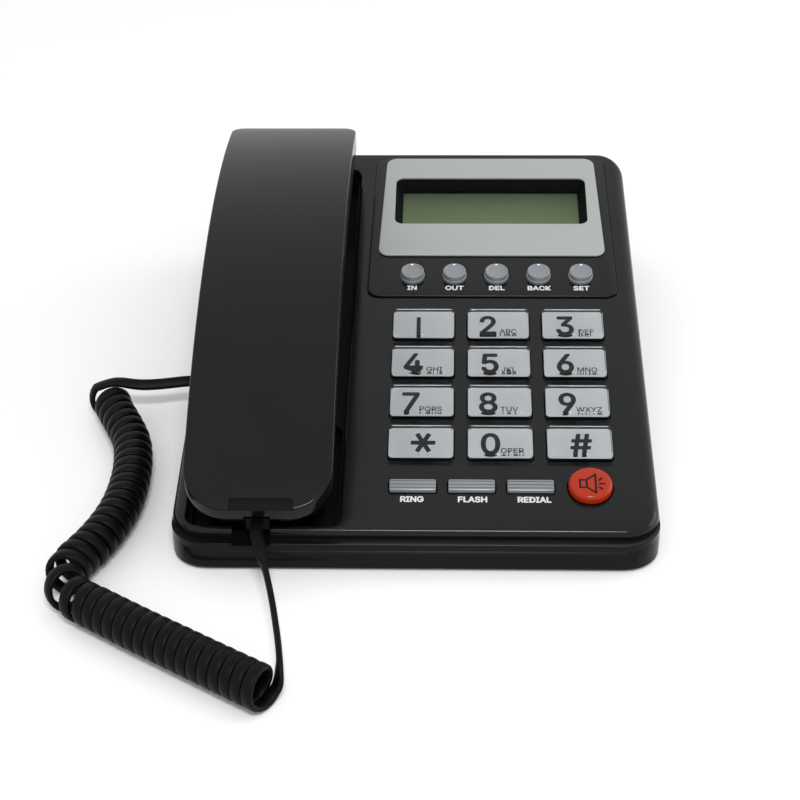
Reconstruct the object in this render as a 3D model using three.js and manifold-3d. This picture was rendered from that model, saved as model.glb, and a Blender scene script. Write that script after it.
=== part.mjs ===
// Corded desk telephone with a cradled handset, a display, a push-button keypad and a curly handset cord.
// Millimetres, +Z up, X to the right of a person who faces the keypad, Y away from them.
// The origin is the middle of the base at the height of the surface that the rubber feet stand on.

import * as THREE from 'three';
import { mergeVertices } from 'three/addons/utils/BufferGeometryUtils.js';
import Module from 'manifold-3d';

const wasm = await Module();
wasm.setup();

// Clearances and cutter overrun
const gap = 0.3;
const overrun = 1;
const seamGap = 0.2;

// Base case
const baseWidth = 162;
const baseDepth = 207;
const faceSlope = THREE.MathUtils.degToRad(9);
const caseCorner = 12;
const caseWall = 2.4;
const faceSetback = 2.5;
const lipHeight = 13.2;
const lipSetback = 3.9;
const lipRadius = 1.2;
const apronRise = 2.5;
const apronEdge = 0.4;
const sideFillet = 4;
const sideDraftShare = 0.05;
const trayHeight = 8;
const trayFloor = 2;
const trayChamfer = 0.6;
const footHeight = 0.8;
const footRadius = 6;
const footInset = 16;
const ribWall = 1.8;

// Layout: places and sizes that keep their share of the base's width or depth
const widthShares = {
  handsetXShare: -0.31543, troughWidthShare: 0.31481, wellWidthShare: 0.29877,
  handsetWidthShare: 0.30247, keypadXShare: 0.17593, keyPitchXShare: 0.16667, keyWidthShare: 0.1358,
  roundPitchShare: 0.09691, roundXShare: 0.17407, barPitchShare: 0.1216, barFirstXShare: -0.00617,
  barWidthShare: 0.0963, speakerXShare: 0.35988, panelXShare: 0.16358, panelFrontWidthShare: 0.57407,
  panelRearWidthShare: 0.55556, plateFrontWidthShare: 0.53025, plateRearWidthShare: 0.50679,
  windowWidthShare: 0.45926, postSpreadShare: 0.24074, lineXShare: 0.24691, loudspeakerXShare: 0.18519,
  ballastWidthShare: 0.38272, ballastXShare: 0.18519, microphoneXShare: -0.06173,
  screwLeftXShare: -0.38272, weightWidthShare: 0.16049, restXShare: -0.30988,
};
const depthShares = {
  troughFrontShare: 0.01739, troughRearShare: 0.94686, frontWellStartShare: 0.02657,
  frontWellEndShare: 0.26087, rearWellStartShare: 0.71498, rearWellEndShare: 0.93865,
  handsetFrontShare: -0.00435, handsetRearShare: 0.9686, handsetCrownYShare: 0.51208,
  handsetArcShare: 1.24638, mouthEndYShare: 0.24155, earStartYShare: 0.7343, keyPitchYShare: 0.09783,
  keyFirstRowYShare: 0.49179, keyDepthShare: 0.06667, roundYShare: 0.62512, barYShare: 0.10145,
  speakerYShare: 0.10217, panelFrontShare: 0.57101, panelRearShare: 0.97874, plateFrontShare: 0.68068,
  plateRearShare: 0.97391, windowFrontShare: 0.77198, windowRearShare: 0.91159,
  boardFrontShare: 0.05556, boardRearShare: 0.94686, membranePostYShare: 0.557, plungerYShare: 0.77295,
  jackYShare: -0.05894, batteryMiddleYShare: 0.29952, loudspeakerYShare: 0.22222,
  ballastDepthShare: 0.22222, ballastYShare: -0.23188, microphoneYShare: -0.31884,
  screwFrontYShare: -0.34783, screwRearYShare: 0.35749, screwMiddleFrontYShare: -0.18357,
  screwMiddleRearYShare: 0.16425, receiverYShare: 0.84058, transmitterYShare: 0.13527,
  weightLengthShare: 0.29952, handsetScrewYShare: 0.67633,
};

// Handset rest: a trough with a deeper well for each end
const handsetX = baseWidth * widthShares.handsetXShare;
const restX = baseWidth * widthShares.restXShare;
const troughWidth = baseWidth * widthShares.troughWidthShare;
const troughFront = baseDepth * depthShares.troughFrontShare;
const troughRear = baseDepth * depthShares.troughRearShare;
const troughDepth = 4;
const troughCorner = 4;
const wellWidth = baseWidth * widthShares.wellWidthShare;
const wellCorner = 3.5;
const frontWellStart = baseDepth * depthShares.frontWellStartShare;
const frontWellEnd = baseDepth * depthShares.frontWellEndShare;
const frontWellDepth = 8;
const rearWellStart = baseDepth * depthShares.rearWellStartShare;
const rearWellEnd = baseDepth * depthShares.rearWellEndShare;
const rearWellDepth = 9;
const notchWidth = 12.7;
const notchOffset = 2.6;
const notchDepth = 3.2;

// Handset
const handsetWidth = baseWidth * widthShares.handsetWidthShare;
const handsetFront = baseDepth * depthShares.handsetFrontShare;
const handsetRear = baseDepth * depthShares.handsetRearShare;
const handsetFrontCorner = 14;
const handsetRearCorner = 5;
const handsetCrown = 35.3;
const handsetCrownY = baseDepth * depthShares.handsetCrownYShare;
const handsetArc = baseDepth * depthShares.handsetArcShare;
const handsetBackDepth = 11.5;
const handsetEndDepth = 6.5;
const handsetWall = 2.2;
const handsetEdge = 2.6;
const leastCorner = 1.5;
const shoulderDrop = 2;
const gripThickness = 23;
const mouthEndY = baseDepth * depthShares.mouthEndYShare;
const earStartY = baseDepth * depthShares.earStartYShare;
const capSlope = 14;
const endTuck = 6;
const sideTuck = 1;
const capEdge = 2.6;

// Keypad
const keypadX = baseWidth * widthShares.keypadXShare;
const keyPitchX = baseWidth * widthShares.keyPitchXShare;
const keyPitchY = baseDepth * depthShares.keyPitchYShare;
const keyFirstRowY = baseDepth * depthShares.keyFirstRowYShare;
const keyWidth = baseWidth * widthShares.keyWidthShare;
const keyDepth = baseDepth * depthShares.keyDepthShare;
const keyHeight = 3.2;
const keyCorner = 1.2;
const keyBevel = 0.6;
const keyRimHeight = 0.8;
const flangeRim = 0.9;
const flangeThickness = 1.2;
const keyTravel = 1.6;

// Round buttons in the display panel
const roundPitch = baseWidth * widthShares.roundPitchShare;
const roundX = baseWidth * widthShares.roundXShare;
const roundY = baseDepth * depthShares.roundYShare;
const roundRadius = 4.55;
const roundTopRadius = 4.2;
const roundHeight = 2.9;
const roundDish = 0.35;
const roundRimShare = 0.86;

// Bar buttons and the loudspeaker button
const barPitch = baseWidth * widthShares.barPitchShare;
const barFirstX = baseWidth * widthShares.barFirstXShare;
const barY = baseDepth * depthShares.barYShare;
const barWidth = baseWidth * widthShares.barWidthShare;
const barDepth = 5.2;
const barHeight = 1.8;
const barCorner = 0.8;
const barBevel = 0.5;
const speakerX = baseWidth * widthShares.speakerXShare;
const speakerY = baseDepth * depthShares.speakerYShare;
const speakerRadius = 7.4;
const speakerHeight = 3;
const speakerBevel = 0.9;

// Display panel, faceplate and display
const panelX = baseWidth * widthShares.panelXShare;
const panelFrontWidth = baseWidth * widthShares.panelFrontWidthShare;
const panelRearWidth = baseWidth * widthShares.panelRearWidthShare;
const panelFront = baseDepth * depthShares.panelFrontShare;
const panelRear = baseDepth * depthShares.panelRearShare;
const panelCorner = 4.5;
const panelProud = 0.8;
const panelSink = 1;
const panelGroove = 0.5;
const panelLedge = 5;
const openingMargin = 1.5;
const plateFrontWidth = baseWidth * widthShares.plateFrontWidthShare;
const plateRearWidth = baseWidth * widthShares.plateRearWidthShare;
const plateFront = baseDepth * depthShares.plateFrontShare;
const plateRear = baseDepth * depthShares.plateRearShare;
const plateCorner = 4;
const plateThickness = 0.6;
const windowWidth = baseWidth * widthShares.windowWidthShare;
const windowFront = baseDepth * depthShares.windowFrontShare;
const windowRear = baseDepth * depthShares.windowRearShare;
const windowCorner = 3;
const windowSlopeIn = 2.8;
const windowDepth = 4.6;
const lensThickness = 0.8;
const lensMargin = 1.6;
const displayThickness = 1.6;

// Switch sheet and circuit board
const membraneThickness = 1.2;
const membraneMargin = 4;
const boardThickness = 1.6;
const boardFront = baseDepth * depthShares.boardFrontShare;
const boardRear = baseDepth * depthShares.boardRearShare;
const postRadius = 1.6;
const postInset = 2;
const membranePostY = baseDepth * depthShares.membranePostYShare;
const postSpread = baseWidth * widthShares.postSpreadShare;

// Hook switch
const plungerY = baseDepth * depthShares.plungerYShare;
const plungerWidth = 9;
const plungerDepth = 5;
const plungerTravel = 4;
const plungerFlange = 1.5;
const plungerFlangeThickness = 1.8;
const hookSwitchWidth = 13;
const hookSwitchDepth = 8;

// Sockets and plugs
const jackY = baseDepth * depthShares.jackYShare;
const jackZ = 13.8;
const jackWidth = 12;
const jackHeight = 11;
const jackLength = 14;
const plugWidth = 7.6;
const plugHeight = 6;
const plugLength = 11.7;
const plugProud = 2.2;
const plugNeck = 0.8;
const handsetJackHeight = 8;
const plugDrop = 7.02;
const plugRecess = 5;
const plugSetback = 0.5;
const lineX = baseWidth * widthShares.lineXShare;
const lineZ = 15.8;
const lineJackWidth = 15;
const lineJackHeight = 12.6;
const lineJackLength = 15;
const lineOpeningWidth = 11;
const lineOpeningHeight = 7.4;
const lineOpeningLength = 11.5;

// Pieces inside the base
const batteryRadius = 5.25;
const batteryLength = 44.5;
const batteryCount = 3;
const batteryBoxInset = 4;
const cellContactRoom = 1.6;
const batteryMiddleY = baseDepth * depthShares.batteryMiddleYShare;
const batteryGap = 0.5;
const batteryBoxWall = 1.8;
const loudspeakerRadius = 25;
const loudspeakerX = baseWidth * widthShares.loudspeakerXShare;
const loudspeakerY = baseDepth * depthShares.loudspeakerYShare;
const loudspeakerRim = 3;
const loudspeakerHeight = 16;
const loudspeakerMagnetRadius = 14;
const grilleSlotCount = 7;
const grilleSlotWidth = 2.4;
const grillePitch = 5.5;
const ballastWidth = baseWidth * widthShares.ballastWidthShare;
const ballastDepth = baseDepth * depthShares.ballastDepthShare;
const ballastHeight = 4;
const ballastX = baseWidth * widthShares.ballastXShare;
const ballastY = baseDepth * depthShares.ballastYShare;
const microphoneRadius = 4.8;
const microphoneHeight = 4.5;
const microphoneX = baseWidth * widthShares.microphoneXShare;
const microphoneY = baseDepth * depthShares.microphoneYShare;
const soundHoleRadius = 0.9;

// Screws and their posts
const screwPostRadius = 4;
const screwHeadRadius = 2.9;
const screwHeadHeight = 1.8;
const screwShankRadius = 1.3;
const screwHeadSink = 2.6;
const screwGrip = 7;
const boreClearance = 0.25;
const screwPostInset = 1.2;
const screwLeftX = baseWidth * widthShares.screwLeftXShare;
const screwFrontY = baseDepth * depthShares.screwFrontYShare;
const screwRearY = baseDepth * depthShares.screwRearYShare;
const screwMiddleFrontY = baseDepth * depthShares.screwMiddleFrontYShare;
const screwMiddleRearY = baseDepth * depthShares.screwMiddleRearYShare;

// Pieces inside the handset
const receiverGap = 1;
const receiverHeight = 7;
const receiverChamfer = 2;
const receiverY = baseDepth * depthShares.receiverYShare;
const transmitterRadius = 5;
const transmitterHeight = 5;
const transmitterY = baseDepth * depthShares.transmitterYShare;
const weightLength = baseDepth * depthShares.weightLengthShare;
const weightWidth = baseWidth * widthShares.weightWidthShare;
const weightHeight = 5;
const weightRoom = 1;
const handsetScrewY = baseDepth * depthShares.handsetScrewYShare;
const handsetPostRadius = 3.6;
const earHoleRadius = 1.1;
const earHoleRing = 5;
const earHoleCount = 6;

// Curly cord: a flat cord wound right-handed
const cordWidth = 3.5;
const cordThickness = 2.2;
const curlRadiusFront = 6.4;
const curlRadiusRear = 5.7;
const curlCount = 40;
const curlSteps = 8;
const cordSides = 5;
const curlLift = 0.5;
const bendSpreadShare = 1.2;
const bendPlaceShare = 0.425;
const bendReachShare = 0.04;
const startPhase = THREE.MathUtils.degToRad(-45);
const endStepsShare = 5;
const crowdShare = 0.15;
const crowdReachShare = 0.05;
const endFlare = 1.2;
const endFlareShare = 0.03;
const nearShare = 0.02;

// Middle line of the curls, from the handset end to the base end, at the height of their radius
const curlAxisPoints = [
  [-43.9, -168.6], [-56.5, -160.6], [-70.5, -151.6], [-84.5, -142.6], [-98.5, -133.2], [-107.9, -126.6],
  [-113.1, -118.6], [-111.3, -109.6], [-106.7, -100.5], [-102.7, -90], [-100.1, -79], [-99.1, -67],
  [-99.5, -54.5], [-101.7, -42], [-105.5, -32.5], [-109.3, -24.5], [-112.1, -18.6], [-113.4, -14.4],
];
// Middle line of the handset's lead, from its plug towards the curls
const handsetLeadPoints = [
  [-49.3, -113.3, 17], [-46.5, -123.6, 15], [-44.1, -133.6, 13], [-42.3, -142.7, 11.5],
  [-40.7, -152, 10.4], [-40, -158.2, 9.2],
];
// Middle line of the base's lead, from the curls towards its plug
const baseLeadPoints = [
  [-106.4, -15.4, 14.2], [-99.5, -15.3, 13.8], [-91.5, -14.1, 13.8],
];
const leadSteps = 14;
const baseLeadSteps = 8;
const leadSides = 8;

// Derived levels
const seam = footHeight + trayHeight;
const floorTop = footHeight + trayFloor;
const faceFrontY = -baseDepth / 2 + faceSetback;
const faceFoot = footHeight + lipHeight;
const faceRise = Math.tan(faceSlope);
const flangeTop = -caseWall - gap;
const flangeBottom = flangeTop - flangeThickness;
const membraneTop = flangeBottom - keyTravel - gap;
const membraneBottom = membraneTop - membraneThickness;
const boardTop = membraneBottom - gap;
const boardBottom = boardTop - boardThickness;

// Materials
function material(color, roughness, metalness = 0) {
  return new THREE.MeshStandardMaterial({ color, roughness, metalness });
}
const blackPlastic = material(0x2a2c2b, 0.25);
const blackMatt = material(0x1c1d1e, 0.6);
const silverPlate = material(0xafb4b2, 0.4, 0.3);
const keyPlastic = material(0xb9bec8, 0.3);
const silverPlastic = material(0x9da0a8, 0.35, 0.2);
const redPlastic = material(0xc8462d, 0.2);
const displayGreen = material(0x5f6e4b, 0.3);
const clearPlastic = material(0x9fb09a, 0.1);
const rubber = material(0x202020, 0.9);
const siliconeRubber = material(0x8d8f90, 0.8);
const boardGreen = material(0x1f5a34, 0.6);
const steel = material(0x9a9c9e, 0.35, 0.9);
const ironGrey = material(0x55585a, 0.6, 0.7);
const paperCone = material(0x252525, 0.8);
const batteryJacket = material(0x4a5a68, 0.4);
const connectorPlastic = material(0x3a3c3e, 0.5);
const clearPlug = material(0x2e3032, 0.25);
const cordBlack = material(0x1d1e20, 0.5);

// Geometry helpers
function cleaned(geometry) {
  const bare = new THREE.BufferGeometry();
  bare.setAttribute('position', geometry.getAttribute('position').clone());
  if (geometry.index) {
    bare.setIndex(geometry.index.clone());
  }
  const merged = mergeVertices(bare, 1e-4);
  const kept = [];
  const index = merged.index.array;
  for (let i = 0; i < index.length; i += 3) {
    const [a, b, c] = [index[i], index[i + 1], index[i + 2]];
    if (a !== b && b !== c && c !== a) {
      kept.push(a, b, c);
    }
  }
  merged.setIndex(kept);
  return merged;
}

function solid(geometry) {
  const clean = cleaned(geometry);
  const vertProperties = new Float32Array(clean.getAttribute('position').array);
  const triVerts = new Uint32Array(clean.index.array);
  return new wasm.Manifold(new wasm.Mesh({ numProp: 3, vertProperties, triVerts }));
}

function geometryOf(shape) {
  const mesh = shape.getMesh();
  const geometry = new THREE.BufferGeometry();
  geometry.setAttribute('position', new THREE.BufferAttribute(new Float32Array(mesh.vertProperties), 3));
  geometry.setIndex(Array.from(mesh.triVerts));
  return geometry;
}

function joined(first, ...others) {
  return others.reduce((whole, other) => whole.add(other), first);
}

function cut(first, ...cutters) {
  return cutters.reduce((whole, cutter) => whole.subtract(cutter), first);
}

// A rounded rectangle, up its right side and down its left; each point carries its outward direction
function outline(halfWidth, front, rear, frontCorner, rearCorner, steps, sideLevels = []) {
  const right = [];
  const addArc = (corner, middleY, start) => {
    for (let i = 0; i <= steps; i += 1) {
      const turn = start + (i / steps) * (Math.PI / 2);
      const [outX, outY] = [Math.cos(turn), Math.sin(turn)];
      right.push({ x: halfWidth - corner + corner * outX, y: middleY + corner * outY, outX, outY });
    }
  };
  addArc(frontCorner, front + frontCorner, -Math.PI / 2);
  for (const y of sideLevels) {
    right.push({ x: halfWidth, y, outX: 1, outY: 0 });
  }
  addArc(rearCorner, rear - rearCorner, 0);
  const left = right.map((p) => ({ ...p, x: -p.x, outX: -p.outX })).reverse();
  return [...right, ...left];
}

// One level of a loft: the outline drawn in by an inset, at a height; both may depend on the point
function ring(points, inset, height) {
  return points.map((p) => {
    const drawnIn = typeof inset === 'function' ? inset(p) : inset;
    const [x, y] = [p.x - p.outX * drawnIn, p.y - p.outY * drawnIn];
    return new THREE.Vector3(x, y, typeof height === 'function' ? height(p, y) : height);
  });
}

// A closed body through rings of equal point count, lowest first, capped by strips from side to side
function loft(rings) {
  const count = rings[0].length;
  const index = [];
  for (let level = 0; level + 1 < rings.length; level += 1) {
    const low = level * count;
    const high = low + count;
    for (let i = 0; i < count; i += 1) {
      const next = (i + 1) % count;
      index.push(low + i, low + next, high + next, low + i, high + next, high + i);
    }
  }
  const top = (rings.length - 1) * count;
  for (let i = 0; i + 1 < count / 2; i += 1) {
    const [right, rightNext, leftNext, left] = [i, i + 1, count - 2 - i, count - 1 - i];
    index.push(right, leftNext, rightNext, right, left, leftNext);
    index.push(top + right, top + rightNext, top + leftNext, top + right, top + leftNext, top + left);
  }
  const geometry = new THREE.BufferGeometry();
  const positions = rings.flat().flatMap((p) => [p.x, p.y, p.z]);
  geometry.setAttribute('position', new THREE.Float32BufferAttribute(positions, 3));
  geometry.setIndex(index);
  return geometry;
}

function box(x0, x1, y0, y1, z0, z1) {
  const geometry = new THREE.BoxGeometry(x1 - x0, y1 - y0, z1 - z0);
  return geometry.translate((x0 + x1) / 2, (y0 + y1) / 2, (z0 + z1) / 2);
}

function block(width, depth, z0, z1, x = 0, y = 0) {
  return box(x - width / 2, x + width / 2, y - depth / 2, y + depth / 2, z0, z1);
}

function rod(radius, z0, z1, x = 0, y = 0, sides = 16) {
  const geometry = new THREE.CylinderGeometry(radius, radius, z1 - z0, sides);
  return geometry.rotateX(Math.PI / 2).translate(x, y, (z0 + z1) / 2);
}

// A body turned about Z from a profile of [radius, height] pairs that starts and ends on the axis
function turned(profile, sides, x = 0, y = 0) {
  const points = profile.map(([radius, height]) => new THREE.Vector2(radius, height));
  return new THREE.LatheGeometry(points, sides).rotateX(Math.PI / 2).translate(x, y, 0);
}

function pad(width, depth, corner, levels, steps = 2) {
  const edge = outline(width / 2, -depth / 2, depth / 2, corner, corner, steps);
  return loft(levels.map(([inset, height]) => ring(edge, inset, height)));
}

// The whole phone, and the sloping face with all that is square to it
const phone = new THREE.Group();
const face = new THREE.Group();
face.position.set(0, faceFrontY, faceFoot);
face.rotation.x = faceSlope;
face.updateMatrix();
phone.add(face);

function addPiece(name, shape, pieceMaterial, parent = phone, place = [0, 0, 0]) {
  const geometry = shape.isBufferGeometry ? cleaned(shape) : cleaned(geometryOf(shape));
  geometry.computeVertexNormals();
  const mesh = new THREE.Mesh(geometry, pieceMaterial);
  mesh.name = name;
  mesh.position.set(...place);
  parent.add(mesh);
}

function fromFace(geometry) {
  return solid(geometry.clone().applyMatrix4(face.matrix));
}

function facePoint(x, y, z) {
  return new THREE.Vector3(x, y, z).applyMatrix4(face.matrix);
}

// Case levels: how high the sloping face is above a place in the base
function faceHeight(y) {
  return faceFoot + (y - faceFrontY) * faceRise;
}

function frontBlend(point, frontValue, sideValue) {
  const frontness = Math.max(0, -point.outY) ** 2;
  return THREE.MathUtils.lerp(sideValue, frontValue, frontness);
}

const cornerSteps = 6;
const filletSteps = 3;
const caseOutline = outline(
  baseWidth / 2, -baseDepth / 2, baseDepth / 2, caseCorner, caseCorner, cornerSteps,
);

// The side walls lean in as they rise
function sideDraft(level) {
  return sideDraftShare * Math.max(0, level - seam);
}

function caseRing(frontInset, sideInset, frontLevel, sideLevel) {
  const lean = (p) => sideDraft(sideLevel(p.y)) * Math.max(0, Math.abs(p.outX)) ** 2;
  const inset = (p) => frontBlend(p, frontInset, sideInset) + lean(p);
  return ring(caseOutline, inset, (p, y) => frontBlend(p, frontLevel(y), sideLevel(y)));
}

function wallLevel(share) {
  return (y) => THREE.MathUtils.lerp(seam, faceHeight(y) - sideFillet, share);
}

function outerCase() {
  const wallShares = [0.12, 0.35];
  const rings = [
    caseRing(0, 0, () => seam, () => seam),
    caseRing(0, 0, () => seam + apronEdge, wallLevel(wallShares[0])),
    caseRing(lipSetback, 0, () => seam + apronRise, wallLevel(wallShares[1])),
  ];
  for (let i = 0; i <= filletSteps; i += 1) {
    const turn = (i / filletSteps) * (Math.PI / 2);
    const [inShare, downShare] = [1 - Math.cos(turn), 1 - Math.sin(turn)];
    rings.push(caseRing(
      lipSetback + lipRadius * inShare, sideFillet * inShare,
      (y) => faceHeight(y) - lipRadius * downShare, (y) => faceHeight(y) - sideFillet * downShare,
    ));
  }
  return solid(loft(rings));
}

function innerCase() {
  const frontWall = lipSetback + caseWall;
  const under = (y) => faceHeight(y) - caseWall / Math.cos(faceSlope);
  return solid(loft([
    caseRing(frontWall, caseWall, () => seam - overrun, () => seam - overrun),
    caseRing(frontWall, caseWall, (y) => under(y) - lipRadius, (y) => under(y) - sideFillet),
    caseRing(frontWall + lipRadius, caseWall + sideFillet / 2, under, (y) => under(y) - sideFillet / 4),
    caseRing(frontWall + lipRadius + sideFillet / 2, caseWall + sideFillet, under, under),
  ]));
}

// Trough and wells in the face's own frame, grown by a wall for the tub and plain for the cavity
function restShape(grow, top) {
  const recess = (width, front, rear, corner, depth) => {
    const edge = outline(width / 2 + grow, front - grow, rear + grow, corner + grow, corner + grow, 4);
    return loft([ring(edge, 0, -depth - grow), ring(edge, 0, top)]).translate(restX, 0, 0);
  };
  return joined(
    fromFace(recess(troughWidth, troughFront, troughRear, troughCorner, troughDepth)),
    fromFace(recess(wellWidth, frontWellStart, frontWellEnd, wellCorner, frontWellDepth)),
    fromFace(recess(wellWidth, rearWellStart, rearWellEnd, wellCorner, rearWellDepth)),
  );
}

// Places of the buttons in the face's frame
const keyPlaces = [];
for (let row = 0; row < 4; row += 1) {
  for (let column = 0; column < 3; column += 1) {
    const [x, y] = [keypadX + (column - 1) * keyPitchX, keyFirstRowY - row * keyPitchY];
    keyPlaces.push({ x, y });
  }
}
const keyNames = ['1', '2', '3', '4', '5', '6', '7', '8', '9', 'star', '0', 'hash'];
const roundPlaces = [-2, -1, 0, 1, 2].map((step) => ({ x: roundX + step * roundPitch, y: roundY }));
const roundNames = ['in', 'out', 'delete', 'back', 'set'];
const barPlaces = [0, 1, 2].map((step) => ({ x: barFirstX + step * barPitch, y: barY }));
const barNames = ['ring', 'flash', 'redial'];

function faceHole(width, depth, corner, place) {
  const hole = pad(width + 2 * gap, depth + 2 * gap, corner, [[0, -caseWall - overrun], [0, overrun]]);
  return fromFace(hole.translate(place.x, place.y, 0));
}

function trapezoid(frontWidth, rearWidth, front, rear, corner, grow, levels) {
  const edge = outline(frontWidth / 2 + grow, front - grow, rear + grow, corner + grow, corner + grow, 3);
  const narrowing = (frontWidth - rearWidth) / 2 / (rear - front);
  const rings = levels.map((height) => ring(edge, 0, height).map((p) => {
    p.x -= Math.sign(p.x) * Math.max(0, p.y - front) * narrowing;
    return p;
  }));
  return loft(rings).translate(panelX, 0, 0);
}

const screwRightX = baseWidth / 2 - caseWall - screwPostRadius - screwPostInset;
const boardX = keypadX;
const boardWidth = 2 * (screwRightX - screwPostRadius - gap - boardX);
const frontPostY = boardFront + postRadius + postInset / 2;
const postPlaces = [
  { x: boardX - postSpread, y: frontPostY }, { x: boardX + postSpread, y: frontPostY },
  { x: boardX - postSpread, y: membranePostY }, { x: boardX + postSpread, y: membranePostY },
];
const screwPlaces = [
  { x: screwRightX, y: screwFrontY }, { x: screwRightX, y: screwRearY },
  { x: screwLeftX, y: screwMiddleFrontY }, { x: screwLeftX, y: screwMiddleRearY },
];
const postFoot = seam + seamGap / 2;
const boreRadius = screwShankRadius + boreClearance;
const screwTop = footHeight + screwHeadSink + screwHeadHeight + screwGrip;

function baseTopShell() {
  const outer = outerCase();
  let shell = cut(outer, innerCase());
  shell = joined(shell, restShape(ribWall, -caseWall / 2));
  for (const place of screwPlaces) {
    const post = solid(rod(screwPostRadius, seam, faceHeight(place.y), place.x, place.y));
    shell = joined(shell, post.intersect(outer));
  }
  for (const place of postPlaces) {
    shell = joined(shell, fromFace(rod(postRadius, boardTop + gap, -caseWall / 2, place.x, place.y, 10)));
  }
  shell = cut(shell, restShape(0, handsetCrown));
  for (const place of screwPlaces) {
    shell = cut(shell, solid(rod(boreRadius, seam - overrun, screwTop + gap, place.x, place.y, 12)));
  }
  for (const place of keyPlaces) {
    shell = cut(shell, faceHole(keyWidth, keyDepth, keyCorner, place));
  }
  for (const place of barPlaces) {
    shell = cut(shell, faceHole(barWidth, barDepth, barCorner, place));
  }
  const speakerHole = rod(speakerRadius + gap, -caseWall - overrun, overrun, speakerX, speakerY, 24);
  const panelPocket = trapezoid(
    panelFrontWidth, panelRearWidth, panelFront, panelRear, panelCorner, panelGroove, [-panelSink, overrun],
  );
  const openingHalf = panelRearWidth / 2 - panelLedge;
  const openingFront = roundY - roundRadius - gap - flangeRim - openingMargin;
  const panelOpening = box(
    panelX - openingHalf, panelX + openingHalf, openingFront, panelRear - panelLedge,
    -caseWall - sideFillet, overrun,
  );
  const notch = box(
    handsetX - notchOffset - notchWidth / 2, handsetX - notchOffset + notchWidth / 2,
    -lipSetback - overrun, troughFront + overrun, -notchDepth, handsetCrown,
  );
  const plungerHole = block(
    plungerWidth + 2 * gap, plungerDepth + 2 * gap,
    -rearWellDepth - ribWall - overrun, -rearWellDepth + overrun, handsetX, plungerY,
  );
  const jackWindow = box(
    -baseWidth / 2 - overrun, -baseWidth / 2 + caseWall + overrun,
    jackY - plugWidth / 2 - 2 * gap, jackY + plugWidth / 2 + 2 * gap,
    jackZ - plugHeight / 2 - 2 * gap, jackZ + plugHeight / 2 + 2 * gap,
  );
  const lineWindow = box(
    lineX - lineOpeningWidth / 2, lineX + lineOpeningWidth / 2,
    baseDepth / 2 - caseWall - overrun, baseDepth / 2 + overrun,
    lineZ - lineOpeningHeight / 2, lineZ + lineOpeningHeight / 2,
  );
  return cut(
    shell, fromFace(speakerHole), fromFace(panelPocket), fromFace(panelOpening), fromFace(notch),
    fromFace(plungerHole), solid(jackWindow), solid(lineWindow),
  );
}

// Battery box in the tray, measured from the row of cells
const cellPitch = 2 * batteryRadius + batteryGap;
const boxInnerX = batteryLength / 2 + cellContactRoom;
const boxInnerY = (batteryCount * cellPitch) / 2 + batteryGap;
const batteryMiddleX = -baseWidth / 2 + caseWall + batteryBoxInset + boxInnerX + batteryBoxWall;
const doorTop = floorTop - seamGap;
const cellMiddleZ = doorTop + gap + batteryRadius;
const boxInnerTop = cellMiddleZ + batteryRadius + batteryGap;
const boxTop = boxInnerTop + batteryBoxWall;

function baseBottomShell() {
  const rim = seam - seamGap;
  const outer = solid(loft([
    ring(caseOutline, trayChamfer, footHeight),
    ring(caseOutline, 0, footHeight + trayChamfer),
    ring(caseOutline, 0, rim),
  ]));
  const inner = solid(loft([
    ring(caseOutline, caseWall, floorTop), ring(caseOutline, caseWall, rim + overrun),
  ]));
  let tray = cut(outer, inner);
  for (const place of screwPlaces) {
    tray = joined(tray, solid(rod(screwPostRadius, footHeight, rim, place.x, place.y)));
  }
  const [batteryX, batteryY] = [batteryMiddleX, batteryMiddleY];
  const [halfX, halfY] = [boxInnerX + batteryBoxWall, boxInnerY + batteryBoxWall];
  tray = joined(tray, solid(box(
    batteryX - halfX, batteryX + halfX, batteryY - halfY, batteryY + halfY, footHeight, boxTop,
  )));
  tray = cut(tray, solid(box(
    batteryX - boxInnerX, batteryX + boxInnerX, batteryY - boxInnerY, batteryY + boxInnerY,
    footHeight - overrun, boxInnerTop,
  )));
  for (const place of screwPlaces) {
    const head = screwHeadRadius + boreClearance;
    tray = cut(
      tray,
      solid(rod(boreRadius, footHeight - overrun, rim + overrun, place.x, place.y, 12)),
      solid(rod(head, footHeight - overrun, footHeight + screwHeadSink + screwHeadHeight, place.x, place.y)),
    );
  }
  for (let i = 0; i < grilleSlotCount; i += 1) {
    const offset = (i - (grilleSlotCount - 1) / 2) * grillePitch;
    const reach = Math.sqrt((loudspeakerRadius - loudspeakerRim) ** 2 - offset ** 2);
    tray = cut(tray, solid(block(
      2 * reach, grilleSlotWidth, footHeight - overrun, floorTop + overrun,
      loudspeakerX, loudspeakerY + offset,
    )));
  }
  return cut(tray, solid(rod(
    soundHoleRadius, footHeight - overrun, floorTop + overrun, microphoneX, microphoneY, 8,
  )));
}

function batteryDoor() {
  const [halfX, halfY] = [boxInnerX - gap, boxInnerY - gap];
  const plate = solid(box(-halfX, halfX, -halfY, halfY, footHeight, doorTop));
  const [slotLength, slotWidth, slotDepth] = [halfX / 2, halfY / 8, trayFloor / 2];
  return cut(plate, solid(block(
    slotLength, slotWidth, footHeight - overrun, footHeight + slotDepth, 0, -halfY + 2 * slotWidth,
  )));
}

addPiece('base_bottom_shell', baseBottomShell(), blackPlastic);
addPiece('base_top_shell', baseTopShell(), blackPlastic);
addPiece('battery_door', batteryDoor(), blackMatt, phone, [batteryMiddleX, batteryMiddleY, 0]);

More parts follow.
